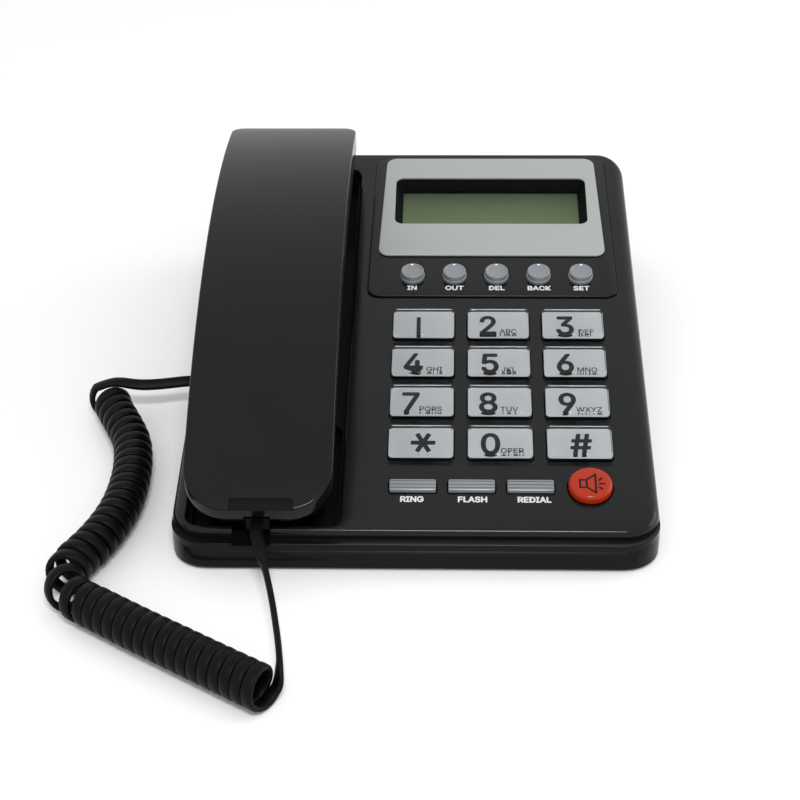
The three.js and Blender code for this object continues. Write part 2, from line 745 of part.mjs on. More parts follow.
for (let i = 0; i < batteryCount; i += 1) {
  const y = batteryMiddleY + (i - (batteryCount - 1) / 2) * cellPitch;
  const [nubRadius, nubLength] = [batteryRadius / 3, batteryRadius / 6];
  const profile = [
    [0, -batteryLength / 2], [batteryRadius, -batteryLength / 2],
    [batteryRadius, batteryLength / 2 - nubLength], [nubRadius, batteryLength / 2 - nubLength],
    [nubRadius, batteryLength / 2], [0, batteryLength / 2],
  ];
  const cell = turned(profile, 14).rotateY((i % 2 ? -1 : 1) * (Math.PI / 2));
  addPiece(`battery_${i + 1}`, cell, batteryJacket, phone, [batteryMiddleX, y, cellMiddleZ]);
}

const screwNames = ['front_right', 'rear_right', 'front_left', 'rear_left'];
screwPlaces.forEach((place, i) => {
  const head = footHeight + screwHeadSink;
  const screw = turned([
    [0, head], [screwHeadRadius, head], [screwHeadRadius, head + screwHeadHeight - gap],
    [screwShankRadius, head + screwHeadHeight - gap], [screwShankRadius, screwTop - screwShankRadius],
    [0, screwTop],
  ], 12);
  addPiece(`base_screw_${screwNames[i]}`, screw, steel, phone, [place.x, place.y, 0]);
});

const footX = baseWidth / 2 - footInset;
const footY = baseDepth / 2 - footInset;
for (const [name, x, y] of [
  ['front_left', -footX, -footY], ['front_right', footX, -footY],
  ['rear_left', -footX, footY], ['rear_right', footX, footY],
]) {
  const chamfer = footHeight / 4;
  const foot = turned([
    [0, 0], [footRadius - chamfer, 0], [footRadius, chamfer], [footRadius, footHeight], [0, footHeight],
  ], 20);
  addPiece(`foot_${name}`, foot, rubber, phone, [x, y, 0]);
}

// Loudspeaker that fires down through the tray, ballast and hands-free microphone
const loudspeaker = turned([
  [0, floorTop], [loudspeakerRadius, floorTop], [loudspeakerRadius, floorTop + loudspeakerRim],
  [loudspeakerMagnetRadius, floorTop + loudspeakerHeight / 2],
  [loudspeakerMagnetRadius, floorTop + loudspeakerHeight], [0, floorTop + loudspeakerHeight],
], 24);
addPiece('loudspeaker', loudspeaker, paperCone, phone, [loudspeakerX, loudspeakerY, 0]);
const ballast = block(ballastWidth, ballastDepth, floorTop, floorTop + ballastHeight, ballastX, ballastY);
addPiece('ballast_weight', ballast, ironGrey);
const microphone = rod(microphoneRadius, floorTop, floorTop + microphoneHeight, microphoneX, microphoneY);
addPiece('handsfree_microphone', microphone, connectorPlastic);

// Display panel with its sloping window frame, faceplate, lens and display
const windowMiddleY = (windowFront + windowRear) / 2;
const windowDepthY = windowRear - windowFront;
const lensTop = panelProud - windowDepth - gap;
const displayTop = lensTop - lensThickness - gap;
const displayBottom = displayTop - displayThickness;
const lensWidth = windowWidth - 2 * windowSlopeIn + 2 * lensMargin;
const lensDepth = windowDepthY - 2 * windowSlopeIn + 2 * lensMargin;

function displayPanel() {
  const plate = solid(trapezoid(
    panelFrontWidth, panelRearWidth, panelFront, panelRear, panelCorner, 0, [-panelSink + gap, panelProud],
  ));
  const [frameWidth, frameDepth] = [lensWidth + 2 * gap + 2 * ribWall, lensDepth + 2 * gap + 2 * ribWall];
  const frame = solid(block(frameWidth, frameDepth, displayBottom, 0, panelX, windowMiddleY));
  const nest = solid(block(
    lensWidth + 2 * gap, lensDepth + 2 * gap, displayBottom - overrun, lensTop + gap, panelX, windowMiddleY,
  ));
  const funnel = pad(windowWidth, windowDepthY, windowCorner, [
    [windowSlopeIn, lensTop - overrun], [windowSlopeIn, lensTop + gap], [0, panelProud],
    [0, panelProud + overrun],
  ], 3).translate(panelX, windowMiddleY, 0);
  const holes = roundPlaces.map((place) => (
    solid(rod(roundRadius + gap, -caseWall - overrun, panelProud + overrun, place.x, place.y, 20))
  ));
  return cut(joined(plate, frame), nest, solid(funnel), ...holes);
}

addPiece('display_panel', displayPanel(), blackPlastic, face);
const plateBottom = panelProud + gap;
const plateBlank = solid(trapezoid(
  plateFrontWidth, plateRearWidth, plateFront, plateRear, plateCorner, 0,
  [plateBottom, plateBottom + plateThickness],
));
const plateWindow = pad(windowWidth, windowDepthY, windowCorner, [
  [0, panelProud], [0, plateBottom + plateThickness + overrun],
], 3).translate(panelX, windowMiddleY, 0);
addPiece('faceplate', cut(plateBlank, solid(plateWindow)), silverPlate, face);
const lens = block(lensWidth, lensDepth, lensTop - lensThickness, lensTop);
addPiece('display_lens', lens, clearPlastic, face, [panelX, windowMiddleY, 0]);
const display = block(lensWidth, lensDepth, displayBottom, displayTop);
addPiece('display_module', display, displayGreen, face, [panelX, windowMiddleY, 0]);

// Keys, bar buttons, round buttons and the loudspeaker button, each with a flange under its hole
function capWithFlange(width, depth, corner, height, bevel, edge) {
  const rim = flangeRim + gap;
  return pad(width, depth, corner, [
    [-rim, flangeBottom], [-rim, flangeTop], [0, flangeTop], [0, height - edge], [bevel, height],
  ]);
}

keyPlaces.forEach((place, i) => {
  const cap = capWithFlange(keyWidth, keyDepth, keyCorner, keyHeight, keyBevel, keyRimHeight);
  addPiece(`key_${keyNames[i]}`, cap, keyPlastic, face, [place.x, place.y, 0]);
});
barPlaces.forEach((place, i) => {
  const cap = capWithFlange(barWidth, barDepth, barCorner, barHeight, barBevel, barBevel);
  addPiece(`${barNames[i]}_button`, cap, silverPlastic, face, [place.x, place.y, 0]);
});
roundPlaces.forEach((place, i) => {
  const under = -panelSink;
  const rim = roundRadius + gap + flangeRim;
  const top = panelProud + roundHeight;
  const button = turned([
    [0, flangeBottom], [rim, flangeBottom], [rim, under], [roundRadius, under],
    [roundRadius, panelProud + roundHeight / 3], [roundTopRadius, panelProud + roundHeight / 2],
    [roundTopRadius, top - roundDish / 2], [roundTopRadius * roundRimShare, top], [0, top - roundDish],
  ], 18);
  addPiece(`${roundNames[i]}_button`, button, silverPlastic, face, [place.x, place.y, 0]);
});
const speakerButton = turned([
  [0, flangeBottom], [speakerRadius + gap + flangeRim, flangeBottom],
  [speakerRadius + gap + flangeRim, flangeTop], [speakerRadius, flangeTop],
  [speakerRadius, speakerHeight - speakerBevel], [speakerRadius - speakerBevel / 2, speakerHeight],
  [0, speakerHeight],
], 24);
addPiece('loudspeaker_button', speakerButton, redPlastic, face, [speakerX, speakerY, 0]);

// Rubber switch sheet and circuit board
const membraneX0 = keypadX - keyPitchX - keyWidth / 2 - membraneMargin / 2;
const membraneX1 = keypadX + keyPitchX + keyWidth / 2 + membraneMargin / 2;
const membraneFront = speakerY - speakerRadius - membraneMargin / 4;
const membraneRear = roundY + roundRadius + membraneMargin;
let membrane = solid(box(membraneX0, membraneX1, membraneFront, membraneRear, membraneBottom, membraneTop));
for (const place of postPlaces) {
  const hole = rod(
    postRadius + gap, membraneBottom - overrun, membraneTop + overrun, place.x, place.y, 10,
  );
  membrane = cut(membrane, solid(hole));
}
addPiece('switch_membrane', membrane, siliconeRubber, face);
const board = box(
  boardX - boardWidth / 2, boardX + boardWidth / 2, boardFront, boardRear, boardBottom, boardTop,
);
addPiece('main_board', board, boardGreen, face);

// Hook plunger in the rear well and the switch under it, on the roof of the battery box
const plungerTop = -rearWellDepth + gap;
const plungerStop = -rearWellDepth - ribWall - plungerTravel - gap;
const plungerBottom = plungerStop - plungerFlangeThickness;
const stem = solid(block(plungerWidth, plungerDepth, plungerStop - overrun, plungerTop));
const stopPlate = solid(block(
  plungerWidth + 2 * plungerFlange, plungerDepth + 2 * plungerFlange, plungerBottom, plungerStop,
));
addPiece('hook_plunger', joined(stem, stopPlate), blackMatt, face, [handsetX, plungerY, 0]);
const plungerReach = plungerDepth / 2 + plungerFlange;
const plungerFoot = facePoint(handsetX, plungerY, plungerBottom);
const switchTop = facePoint(handsetX, plungerY - plungerReach, plungerBottom).z - gap;
const hookSwitch = block(
  hookSwitchWidth, hookSwitchDepth, boxTop, switchTop, handsetX, plungerFoot.y,
);
addPiece('hook_switch', hookSwitch, connectorPlastic);

// A socket block open at one end, lying along +Y from its mouth at the origin
function socket(width, height, length, openWidth, openHeight, openLength) {
  const body = solid(box(-width / 2, width / 2, 0, length, -height / 2, height / 2));
  const mouth = solid(box(
    -openWidth / 2, openWidth / 2, -overrun, openLength, -openHeight / 2, openHeight / 2,
  ));
  return geometryOf(cut(body, mouth));
}

// A modular plug lying along +Y with its cord end at the origin
function plug(length) {
  const body = solid(box(
    -plugWidth / 2, plugWidth / 2, 0, length, -plugHeight / 2, plugHeight / 2 - plugNeck,
  ));
  const latch = solid(box(
    -plugWidth / 6, plugWidth / 6, plugProud / 2, length - plugProud,
    plugHeight / 2 - plugNeck - gap, plugHeight / 2,
  ));
  return geometryOf(joined(body, latch));
}

const plugBite = plugLength - plugProud + gap;
const jackBody = socket(
  jackWidth, jackHeight, jackLength, plugWidth + 2 * gap, plugHeight + 2 * gap, plugBite,
).rotateZ(-Math.PI / 2);
const jackFace = -baseWidth / 2 + caseWall + gap + sideDraft(jackZ + jackHeight / 2);
addPiece('handset_cord_socket', jackBody, connectorPlastic, phone, [jackFace, jackY, jackZ]);
const basePlugX = jackFace - plugProud;
addPiece('base_plug', plug(plugLength).rotateZ(-Math.PI / 2), clearPlug, phone, [basePlugX, jackY, jackZ]);
const lineBody = socket(
  lineJackWidth, lineJackHeight, lineJackLength,
  lineOpeningWidth, lineOpeningHeight, lineOpeningLength,
).rotateZ(Math.PI);
addPiece(
  'line_socket', lineBody, connectorPlastic, phone, [lineX, baseDepth / 2 - caseWall - gap, lineZ],
);

// Handset shells: an arched back and an underside with a cap for the ear and one for the mouth
const handsetCornerSteps = 4;
const gripSteps = 6;
const slopeShares = [-0.5, -0.2, 0.2, 0.5];
const handsetLevels = slopeShares.map((share) => mouthEndY + share * capSlope);
for (let i = 1; i < gripSteps; i += 1) {
  handsetLevels.push(THREE.MathUtils.lerp(mouthEndY + capSlope / 2, earStartY - capSlope / 2, i / gripSteps));
}
handsetLevels.push(...slopeShares.map((share) => earStartY + share * capSlope));
handsetLevels.unshift((handsetLevels[0] + handsetFrontCorner) / 2);
handsetLevels.push(receiverY);

// One level of the handset, drawn in from its ends and its sides
function handsetRing(ends, sides, height) {
  const corner = (radius) => Math.max(radius - Math.min(ends, sides), leastCorner);
  const edge = outline(
    handsetWidth / 2 - sides, handsetFront + ends, handsetRear - ends,
    corner(handsetFrontCorner), corner(handsetRearCorner), handsetCornerSteps, handsetLevels,
  );
  return ring(edge, 0, (p, y) => height(y));
}

function backHeight(y) {
  return handsetCrown - handsetArc + Math.sqrt(handsetArc ** 2 - (y - handsetCrownY) ** 2);
}

function splitHeight(y) {
  const endness = ((y - handsetCrownY) / (handsetRear - handsetCrownY)) ** 2;
  return backHeight(y) - THREE.MathUtils.lerp(handsetBackDepth, handsetEndDepth, endness);
}

// How far the underside drops at a place along the handset: wells at both ends, grip between
function underHeight(y, raise) {
  const toMouth = THREE.MathUtils.smoothstep(y, mouthEndY - capSlope / 2, mouthEndY + capSlope / 2);
  const toEar = THREE.MathUtils.smoothstep(y, earStartY - capSlope / 2, earStartY + capSlope / 2);
  const grip = backHeight(y) - gripThickness;
  const mouth = -frontWellDepth + gap;
  const ear = -rearWellDepth + 2 * gap;
  return THREE.MathUtils.lerp(THREE.MathUtils.lerp(mouth, grip, toMouth), ear, toEar) + raise;
}

// The plug's height in the handset, and the way through the front wall for it
const plugLift = backHeight(handsetFront) - plugDrop;
const handsetSocketY = handsetFront + handsetWall + gap + plugRecess;

function plugWindow() {
  const [halfWidth, halfHeight] = [plugWidth / 2 + 2 * gap, plugHeight / 2 + 2 * gap];
  return box(
    -halfWidth, halfWidth, handsetFront - overrun, handsetSocketY + overrun,
    plugLift - halfHeight, plugLift + halfHeight,
  );
}

function handsetBackShell() {
  const levels = [handsetRing(0, 0, (y) => splitHeight(y) + seamGap / 2)];
  for (let i = 0; i <= filletSteps; i += 1) {
    const turn = (i / filletSteps) * (Math.PI / 2);
    const [inset, drop] = [handsetEdge * (1 - Math.cos(turn)), handsetEdge * (1 - Math.sin(turn))];
    levels.push(handsetRing(inset, inset, (y) => backHeight(y) - drop));
  }
  const outer = solid(loft(levels));
  const [innerEdge, half] = [handsetWall + handsetEdge / 2, handsetEdge / 2];
  const inner = solid(loft([
    handsetRing(handsetWall, handsetWall, (y) => splitHeight(y) - overrun),
    handsetRing(handsetWall, handsetWall, (y) => backHeight(y) - handsetWall - half),
    handsetRing(innerEdge, innerEdge, (y) => backHeight(y) - handsetWall),
  ]));
  const postTop = backHeight(handsetScrewY) - handsetWall / 2;
  const postBottom = underHeight(handsetScrewY, handsetWall) + 2 * gap;
  const post = solid(rod(handsetPostRadius, postBottom, postTop, 0, handsetScrewY, 12));
  const bore = solid(rod(boreRadius, postBottom - overrun, postBottom + screwGrip + gap, 0, handsetScrewY, 12));
  return cut(joined(cut(outer, inner), post), bore, solid(plugWindow()));
}

function handsetFrontShell() {
  const shoulder = (drop, raise) => (y) => Math.min(splitHeight(y) - drop, underHeight(y, raise));
  const outer = solid(loft([
    handsetRing(endTuck + 2 * capEdge, sideTuck + 2 * capEdge, (y) => underHeight(y, 0)),
    handsetRing(endTuck + capEdge, sideTuck + capEdge, (y) => underHeight(y, capEdge)),
    handsetRing(endTuck, sideTuck, shoulder(shoulderDrop, capEdge + 2 * endTuck)),
    handsetRing(0, 0, (y) => splitHeight(y) - seamGap / 2),
  ]));
  const [endWall, sideWall] = [endTuck + handsetWall, sideTuck + handsetWall];
  const floor = handsetWall;
  const inner = solid(loft([
    handsetRing(endWall + 2 * capEdge, sideWall + capEdge, (y) => underHeight(y, floor)),
    handsetRing(endWall + capEdge, sideWall + capEdge / 2, shoulder(shoulderDrop + gap, floor + capEdge)),
    handsetRing(endWall, sideWall, shoulder(shoulderDrop, floor + 2 * endTuck)),
    handsetRing(handsetWall, handsetWall, (y) => splitHeight(y) + overrun),
  ]));
  const headTop = underHeight(handsetScrewY, gap * 2);
  const cutters = [
    solid(rod(boreRadius, headTop - 2 * screwHeadHeight, headTop + gripThickness / 2, 0, handsetScrewY, 12)),
    solid(rod(screwHeadRadius + boreClearance, headTop - 2 * gripThickness, headTop, 0, handsetScrewY, 12)),
    solid(rod(soundHoleRadius, -frontWellDepth - overrun, 0, 0, transmitterY, 8)),
    solid(plugWindow()),
    solid(box(
      -jackWidth / 2 - gap, jackWidth / 2 + gap, handsetSocketY - gap,
      handsetSocketY + jackLength + gap, plugLift - handsetJackHeight / 2 - gap, handsetCrown,
    )),
  ];
  for (let i = 0; i <= earHoleCount; i += 1) {
    const turn = (i / earHoleCount) * 2 * Math.PI;
    const reach = i === earHoleCount ? 0 : earHoleRing;
    cutters.push(solid(rod(
      earHoleRadius, -rearWellDepth - overrun, 0,
      reach * Math.cos(turn), receiverY + reach * Math.sin(turn), 8,
    )));
  }
  return cut(cut(outer, inner), ...cutters);
}

const handset = new THREE.Group();
handset.position.x = handsetX;
face.add(handset);
addPiece('handset_back_shell', handsetBackShell(), blackPlastic, handset);
addPiece('handset_front_shell', handsetFrontShell(), blackPlastic, handset);
const receiverRadius = receiverY - earStartY - capSlope / 2 - receiverGap;
const receiverBottom = underHeight(receiverY, handsetWall + gap);
const receiver = turned([
  [0, receiverBottom], [receiverRadius - receiverChamfer, receiverBottom],
  [receiverRadius, receiverBottom + receiverChamfer],
  [receiverRadius, receiverBottom + receiverHeight], [0, receiverBottom + receiverHeight],
], 20);
addPiece('receiver_capsule', receiver, connectorPlastic, handset, [0, receiverY, 0]);
const transmitterBottom = underHeight(transmitterY, handsetWall + gap);
const transmitter = rod(transmitterRadius, transmitterBottom, transmitterBottom + transmitterHeight);
addPiece('transmitter_capsule', transmitter, steel, handset, [0, transmitterY, 0]);
const weightY = handsetScrewY - handsetPostRadius - weightRoom - weightLength / 2;
const weightBottom = underHeight(handsetCrownY, handsetWall + gap);
const weight = block(weightWidth, weightLength, weightBottom, weightBottom + weightHeight);
addPiece('handset_weight', weight, ironGrey, handset, [0, weightY, 0]);
const screwSeat = underHeight(handsetScrewY, 2 * gap);
const handsetScrew = turned([
  [0, screwSeat - screwHeadHeight], [screwHeadRadius, screwSeat - screwHeadHeight],
  [screwHeadRadius, screwSeat - gap], [screwShankRadius, screwSeat - gap],
  [screwShankRadius, screwSeat + screwGrip], [0, screwSeat + screwGrip + screwShankRadius],
], 12);
addPiece('handset_screw', handsetScrew, steel, handset, [0, handsetScrewY, 0]);
const handsetSocket = socket(
  jackWidth, handsetJackHeight, jackLength, plugWidth + 2 * gap, plugHeight + 2 * gap, plugBite,
);
addPiece('handset_socket', handsetSocket, connectorPlastic, handset, [0, handsetSocketY, plugLift]);
const handsetPlugY = handsetFront + plugSetback;
const handsetPlug = plug(plugLength + plugRecess / 2);
addPiece('handset_plug', handsetPlug, clearPlug, handset, [0, handsetPlugY, plugLift]);

// Curly cord
const curlHeight = curlRadiusFront + cordThickness / 2 + curlLift;
const curlAxis = new THREE.CatmullRomCurve3(curlAxisPoints.map(([x, y]) => new THREE.Vector3(x, y, 0)));

// How far along the axis each curl step lies; the curls stand apart where the cord turns sharply
function curlPlaces() {
  const samples = 1500;
  const counts = [0];
  for (let i = 1; i <= samples; i += 1) {
    const fromBend = i / samples - bendPlaceShare;
    const rearness = THREE.MathUtils.smoothstep(fromBend, -crowdReachShare, crowdReachShare);
    const crowding = 1 + crowdShare * (1 - rearness);
    const spread = 1 + bendSpreadShare * Math.exp(-((fromBend / bendReachShare) ** 2));
    counts.push(counts[i - 1] + crowding / spread);
  }
  const steps = curlCount * curlSteps + endStepsShare;
  const places = [];
  let sample = 0;
  for (let step = 0; step <= steps; step += 1) {
    const wanted = (counts[samples] * step) / steps;
    while (sample + 1 < samples && counts[sample + 1] < wanted) {
      sample += 1;
    }
    places.push((sample + (wanted - counts[sample]) / (counts[sample + 1] - counts[sample])) / samples);
  }
  return places;
}

function curlPoint(along, step) {
  const middle = curlAxis.getPointAt(along);
  const heading = curlAxis.getTangentAt(along);
  const right = new THREE.Vector3(heading.y, -heading.x, 0);
  const phase = startPhase - (step / curlSteps) * 2 * Math.PI;
  const out = right.multiplyScalar(Math.cos(phase)).setZ(Math.sin(phase));
  const flare = endFlare * THREE.MathUtils.smoothstep(along, 1 - endFlareShare, 1);
  const radius = THREE.MathUtils.lerp(curlRadiusFront, curlRadiusRear, along) + flare;
  const settle = curlRadiusFront - radius;
  middle.z = curlHeight - settle;
  return { point: middle.addScaledVector(out, radius), out };
}

function curlyCord() {
  const places = curlPlaces();
  const stations = places.map((along, step) => curlPoint(along, step));
  const directionAt = (step) => {
    const sign = step === 0 ? 1 : -1;
    const other = step === 0 ? 0 : places.length - 1;
    const shifted = curlPoint(places[other], other + sign * nearShare);
    return shifted.point.sub(stations[other].point).multiplyScalar(sign).normalize();
  };
  const [startWay, endWay] = [directionAt(0), directionAt(1)];
  const last = stations.length - 1;
  const beyond = (station, way, reach) => (
    { out: station.out, point: station.point.clone().addScaledVector(way, reach) }
  );
  const first = beyond(stations[0], startWay, -cordWidth);
  const end = beyond(stations[last], endWay, cordWidth);
  const line = [first, ...stations, end];
  const positions = [];
  line.forEach((station, i) => {
    const way = line[Math.min(i + 1, line.length - 1)].point.clone().sub(line[Math.max(i - 1, 0)].point);
    if (i <= 1) {
      way.copy(startWay);
    }
    if (i >= last + 1) {
      way.copy(endWay);
    }
    way.normalize();
    const out = station.out.clone().addScaledVector(way, -station.out.dot(way)).normalize();
    const across = new THREE.Vector3().crossVectors(way, out);
    for (let side = 0; side < cordSides; side += 1) {
      const turn = (side / cordSides) * 2 * Math.PI;
      const corner = station.point.clone();
      corner.addScaledVector(across, (cordWidth / 2) * Math.sin(turn));
      corner.addScaledVector(out, (cordThickness / 2) * Math.cos(turn));
      positions.push(corner);
    }
  });
  const index = [];
  for (let i = 0; i + 1 < line.length; i += 1) {
    for (let side = 0; side < cordSides; side += 1) {
      const next = (side + 1) % cordSides;
      const [a, b] = [i * cordSides + side, i * cordSides + next];
      index.push(a, b, b + cordSides, a, b + cordSides, a + cordSides);
    }
  }
  const tail = (line.length - 1) * cordSides;
  for (let side = 1; side + 1 < cordSides; side += 1) {
    index.push(0, side + 1, side, tail, tail + side, tail + side + 1);
  }
  const geometry = new THREE.BufferGeometry();
  geometry.setAttribute('position', new THREE.Float32BufferAttribute(positions.flatMap((p) => p.toArray()), 3));
  geometry.setIndex(index);
  return { geometry, positions, start: first.point, end: end.point, startWay, endWay };
}

// Least distance between points of the tube that are at least half a curl apart along it
function leastGap(positions) {
  const rings = positions.length / cordSides;
  let least = Infinity;
  for (let i = 0; i < rings; i += 1) {
    for (let j = i + curlSteps / 2; j < rings; j += 1) {
      if (positions[i * cordSides].distanceTo(positions[j * cordSides]) < 3 * cordWidth) {
        for (let a = 0; a < cordSides; a += 1) {
          for (let b = 0; b < cordSides; b += 1) {
            least = Math.min(least, positions[i * cordSides + a].distanceTo(positions[j * cordSides + b]));
          }
        }
      }
    }
  }
  return least;
}

const curls = curlyCord();
addPiece('curly_cord', curls.geometry, cordBlack);
console.log('least gap between curls, mm:', leastGap(curls.positions).toFixed(3));

// The two plain leads, flat cords that meet the curls and the plugs face to face
function lead(points, steps) {
  const section = new THREE.Shape();
  for (let side = 0; side < leadSides; side += 1) {
    const turn = ((side + 0.5) / leadSides) * 2 * Math.PI;
    const [x, y] = [(cordWidth / 2) * Math.cos(turn), (cordThickness / 2) * Math.sin(turn)];
    if (side === 0) {
      section.moveTo(x, y);
    } else {
      section.lineTo(x, y);
    }
  }
  section.closePath();
  const path = new THREE.CatmullRomCurve3(points);
  return new THREE.ExtrudeGeometry(section, { steps, extrudePath: path, bevelEnabled: false });
}

const handsetExit = new THREE.Vector3(handsetX, handsetPlugY - gap, plugLift).applyMatrix4(face.matrix);
const handsetWay = new THREE.Vector3(0, -1, 0).transformDirection(face.matrix);
const handsetLeadStart = handsetExit.clone().addScaledVector(handsetWay, cordWidth);
const handsetLeadEnd = curls.start.clone().addScaledVector(curls.startWay, -gap);
const handsetLeadTurn = handsetLeadEnd.clone().addScaledVector(curls.startWay, -cordWidth);
const handsetLeadPath = [
  handsetExit, handsetLeadStart, ...handsetLeadPoints.map((p) => new THREE.Vector3(...p)),
  handsetLeadTurn, handsetLeadEnd,
];
addPiece('handset_lead', lead(handsetLeadPath, leadSteps), cordBlack);
const baseLeadStart = curls.end.clone().addScaledVector(curls.endWay, gap);
const baseLeadTurn = baseLeadStart.clone().addScaledVector(curls.endWay, cordWidth / 2);
const baseExit = new THREE.Vector3(basePlugX - gap, jackY, jackZ);
const baseLeadIn = baseExit.clone().setX(baseExit.x - cordWidth);
const baseLeadPath = [
  baseLeadStart, baseLeadTurn, ...baseLeadPoints.map((p) => new THREE.Vector3(...p)), baseLeadIn, baseExit,
];
addPiece('base_lead', lead(baseLeadPath, baseLeadSteps), cordBlack);

export default phone;
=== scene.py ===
"""Corded desk telephone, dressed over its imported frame.

Metres, +Z up, X to the right of a person at the keypad.
"""

import math
import os

import bpy
import numpy as np
from mathutils import Matrix, Vector


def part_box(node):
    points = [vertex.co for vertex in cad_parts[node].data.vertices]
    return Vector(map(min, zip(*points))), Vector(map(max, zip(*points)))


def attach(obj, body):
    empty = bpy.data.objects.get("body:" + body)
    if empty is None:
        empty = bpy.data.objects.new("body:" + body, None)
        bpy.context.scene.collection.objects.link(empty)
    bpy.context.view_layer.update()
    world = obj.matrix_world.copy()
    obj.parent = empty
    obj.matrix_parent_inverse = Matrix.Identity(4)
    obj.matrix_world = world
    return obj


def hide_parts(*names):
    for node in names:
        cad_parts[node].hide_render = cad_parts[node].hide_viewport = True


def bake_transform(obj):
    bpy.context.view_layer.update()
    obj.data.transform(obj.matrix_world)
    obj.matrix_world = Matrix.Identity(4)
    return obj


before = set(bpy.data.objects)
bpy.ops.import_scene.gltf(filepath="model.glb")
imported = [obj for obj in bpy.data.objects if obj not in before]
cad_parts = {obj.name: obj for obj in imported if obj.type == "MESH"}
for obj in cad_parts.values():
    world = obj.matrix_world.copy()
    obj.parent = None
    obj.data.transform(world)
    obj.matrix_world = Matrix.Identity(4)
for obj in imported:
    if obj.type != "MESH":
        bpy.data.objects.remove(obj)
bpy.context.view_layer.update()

# Camera, at the photograph's viewing angle
CAMERA_PLACE = (0.014088, -0.595957, 0.410429)
CAMERA_RIGHT = (0.99954035, 0.02710202, -0.01358534)
CAMERA_UP = (-0.00428101, 0.56980988, 0.8217654)
CAMERA_LENS = 87.165

# The sloping face: its front edge and its slope carry all that is square to it
FACE_FRONT = (0.0, -0.101, 0.014)
FACE_SLOPE = math.radians(9)
FACE = Matrix.Translation(FACE_FRONT) @ Matrix.Rotation(FACE_SLOPE, 4, "X")

# Small steps: a cutting tool's overrun, a bevel too thin to see, and what counts as touching
OVERRUN = 0.002
SLIVER = 0.0001
NEAR = 1e-5
SAME = 1e-7
CAD_SAME = 1e-6

# Height of a body before its levels are set, and steps of its round corners
UNSHAPED = 1.0
CORNER_STEPS = 12

# Base case
BASE_WIDTH = 0.162
BASE_FRONT = -0.1035
BASE_REAR = 0.1035
SHELL_FOOT = 0.0088
CASE_CORNER = 0.012
CASE_WALL = 0.0024
SIDE_FILLET = 0.004
REAR_FILLET = 0.0012
SIDE_DRAFT_SHARE = 0.05
LIP_FRONT = -0.1001
LIP_FILLET = 0.002
APRON_RISE = 0.0025
APRON_SETBACK = 0.02
LEDGE_MARGIN = 0.0004
CLEARANCE = 0.0003

# Windows in the case's walls: their ends along x, y and z
CORD_WINDOW = ((-0.082, -0.0778), (-0.0166, -0.0078), (0.0102, 0.0174))
LINE_WINDOW = ((0.0345, 0.0455), (0.1000, 0.1050), (0.0121, 0.0195))
WINDOW_EDGE = 0.0002

# Handset rest, in the face's frame
HANDSET_X = -0.0511
REST_X = -0.0502
TROUGH = {
    "width": 0.051, "front": 0.0036, "rear": 0.196, "corner": 0.004, "depth": 0.004, "wall_top": -0.0012,
}
FRONT_WELL = {
    "width": 0.0484, "front": 0.0055, "rear": 0.054, "corner": 0.0035, "depth": 0.008, "wall_top": -0.0047,
}
REAR_WELL = {
    "width": 0.0484, "front": 0.148, "rear": 0.1943, "corner": 0.0035, "depth": 0.009, "wall_top": -0.0049,
}
WELL_TOP = -0.002
NOTCH = {"width": 0.0127, "offset": 0.0026, "y": (-0.006, 0.0046), "z": (-0.0032, 0.02), "corner": 0.001}
PLUNGER_HOLE = {"width": 0.0096, "y": (0.1572, 0.1628), "z": (-0.0125, -0.008), "corner": 0.0004}
REST_WALL = 0.0018
REST_FILLET = 0.0008
REST_REACH = 0.03
REST_PAINT_MARGIN = 0.0005

# Handset, in the face's frame
HANDSET_WIDTH = 0.049
HANDSET_FRONT = -0.0009
HANDSET_REAR = 0.2005
HANDSET_CROWN = 0.0353
HANDSET_CROWN_Y = 0.106
HANDSET_ARC = 0.258
HANDSET_BACK_DEPTH = 0.0115
HANDSET_END_DEPTH = 0.0065
HANDSET_FRONT_CORNER = 0.014
HANDSET_REAR_CORNER = 0.005
HANDSET_EDGE = 0.0026
HANDSET_WALL = 0.0022
HANDSET_HOLLOW_EDGE = 0.0008
HANDSET_SPLIT_GAP = 0.0001
HANDSET_SLICES = 60
PLUG_WINDOW = {"width": 0.0088, "y": (-0.001, 0.0032), "height": 0.0072}
SCOOP = {"x": (-0.009, 0.012), "y": (-0.004, 0.0038), "z": (-0.0006, 0.004), "corner": 0.0012}
SCOOP_PAINT = (0.0002, 0.0011)

# Keys and buttons, in the face's frame
KEY_X = 0.0285
KEY_PITCH_X = 0.027
KEY_PITCH_Y = 0.02025
KEY_FIRST_Y = 0.1016
KEY_SIZE = (0.022, 0.0142)
KEY_HEIGHT = 0.0029
KEY_CORE = 0.0008
CAP_OVERLAP = 0.0003
KEY_GAP = 0.0005
KEY_FLANGE = 0.0009
FLANGE_TOP = -0.0027
FLANGE_BOTTOM = -0.0039
ROUND_X = 0.0282
ROUND_PITCH = 0.0157
ROUND_Y = 0.1294
ROUND_RADIUS = 0.00455
ROUND_HEIGHT = 0.0029
ROUND_WAIST_SHARE = 0.36
ROUND_GROOVE = 0.0003
ROUND_BEVEL = 0.0002
ROUND_EDGE = 0.0003
ROUND_DISH = [(0.0, -0.0003), (-0.00022, -0.00025), (-0.00014, -0.0007), (-0.00006, -0.0012)]
BAR_X = -0.001
BAR_PITCH = 0.0197
BAR_Y = 0.021
BAR_SIZE = (0.0156, 0.005)
BAR_HEIGHT = 0.0015
BAR_EDGE = 0.0004
BAR_CORNER = 0.0006
GROOVE_PITCH = 0.0015
GROOVE_WIDTH = 0.00044
GROOVE_DEPTH = 0.0003
SPEAKER_PLACE = (0.0583, 0.02115)
SPEAKER_RADIUS = 0.0074
SPEAKER_HEIGHT = 0.003
SPEAKER_EDGE = 0.0016
SPEAKER_SIDES = 64
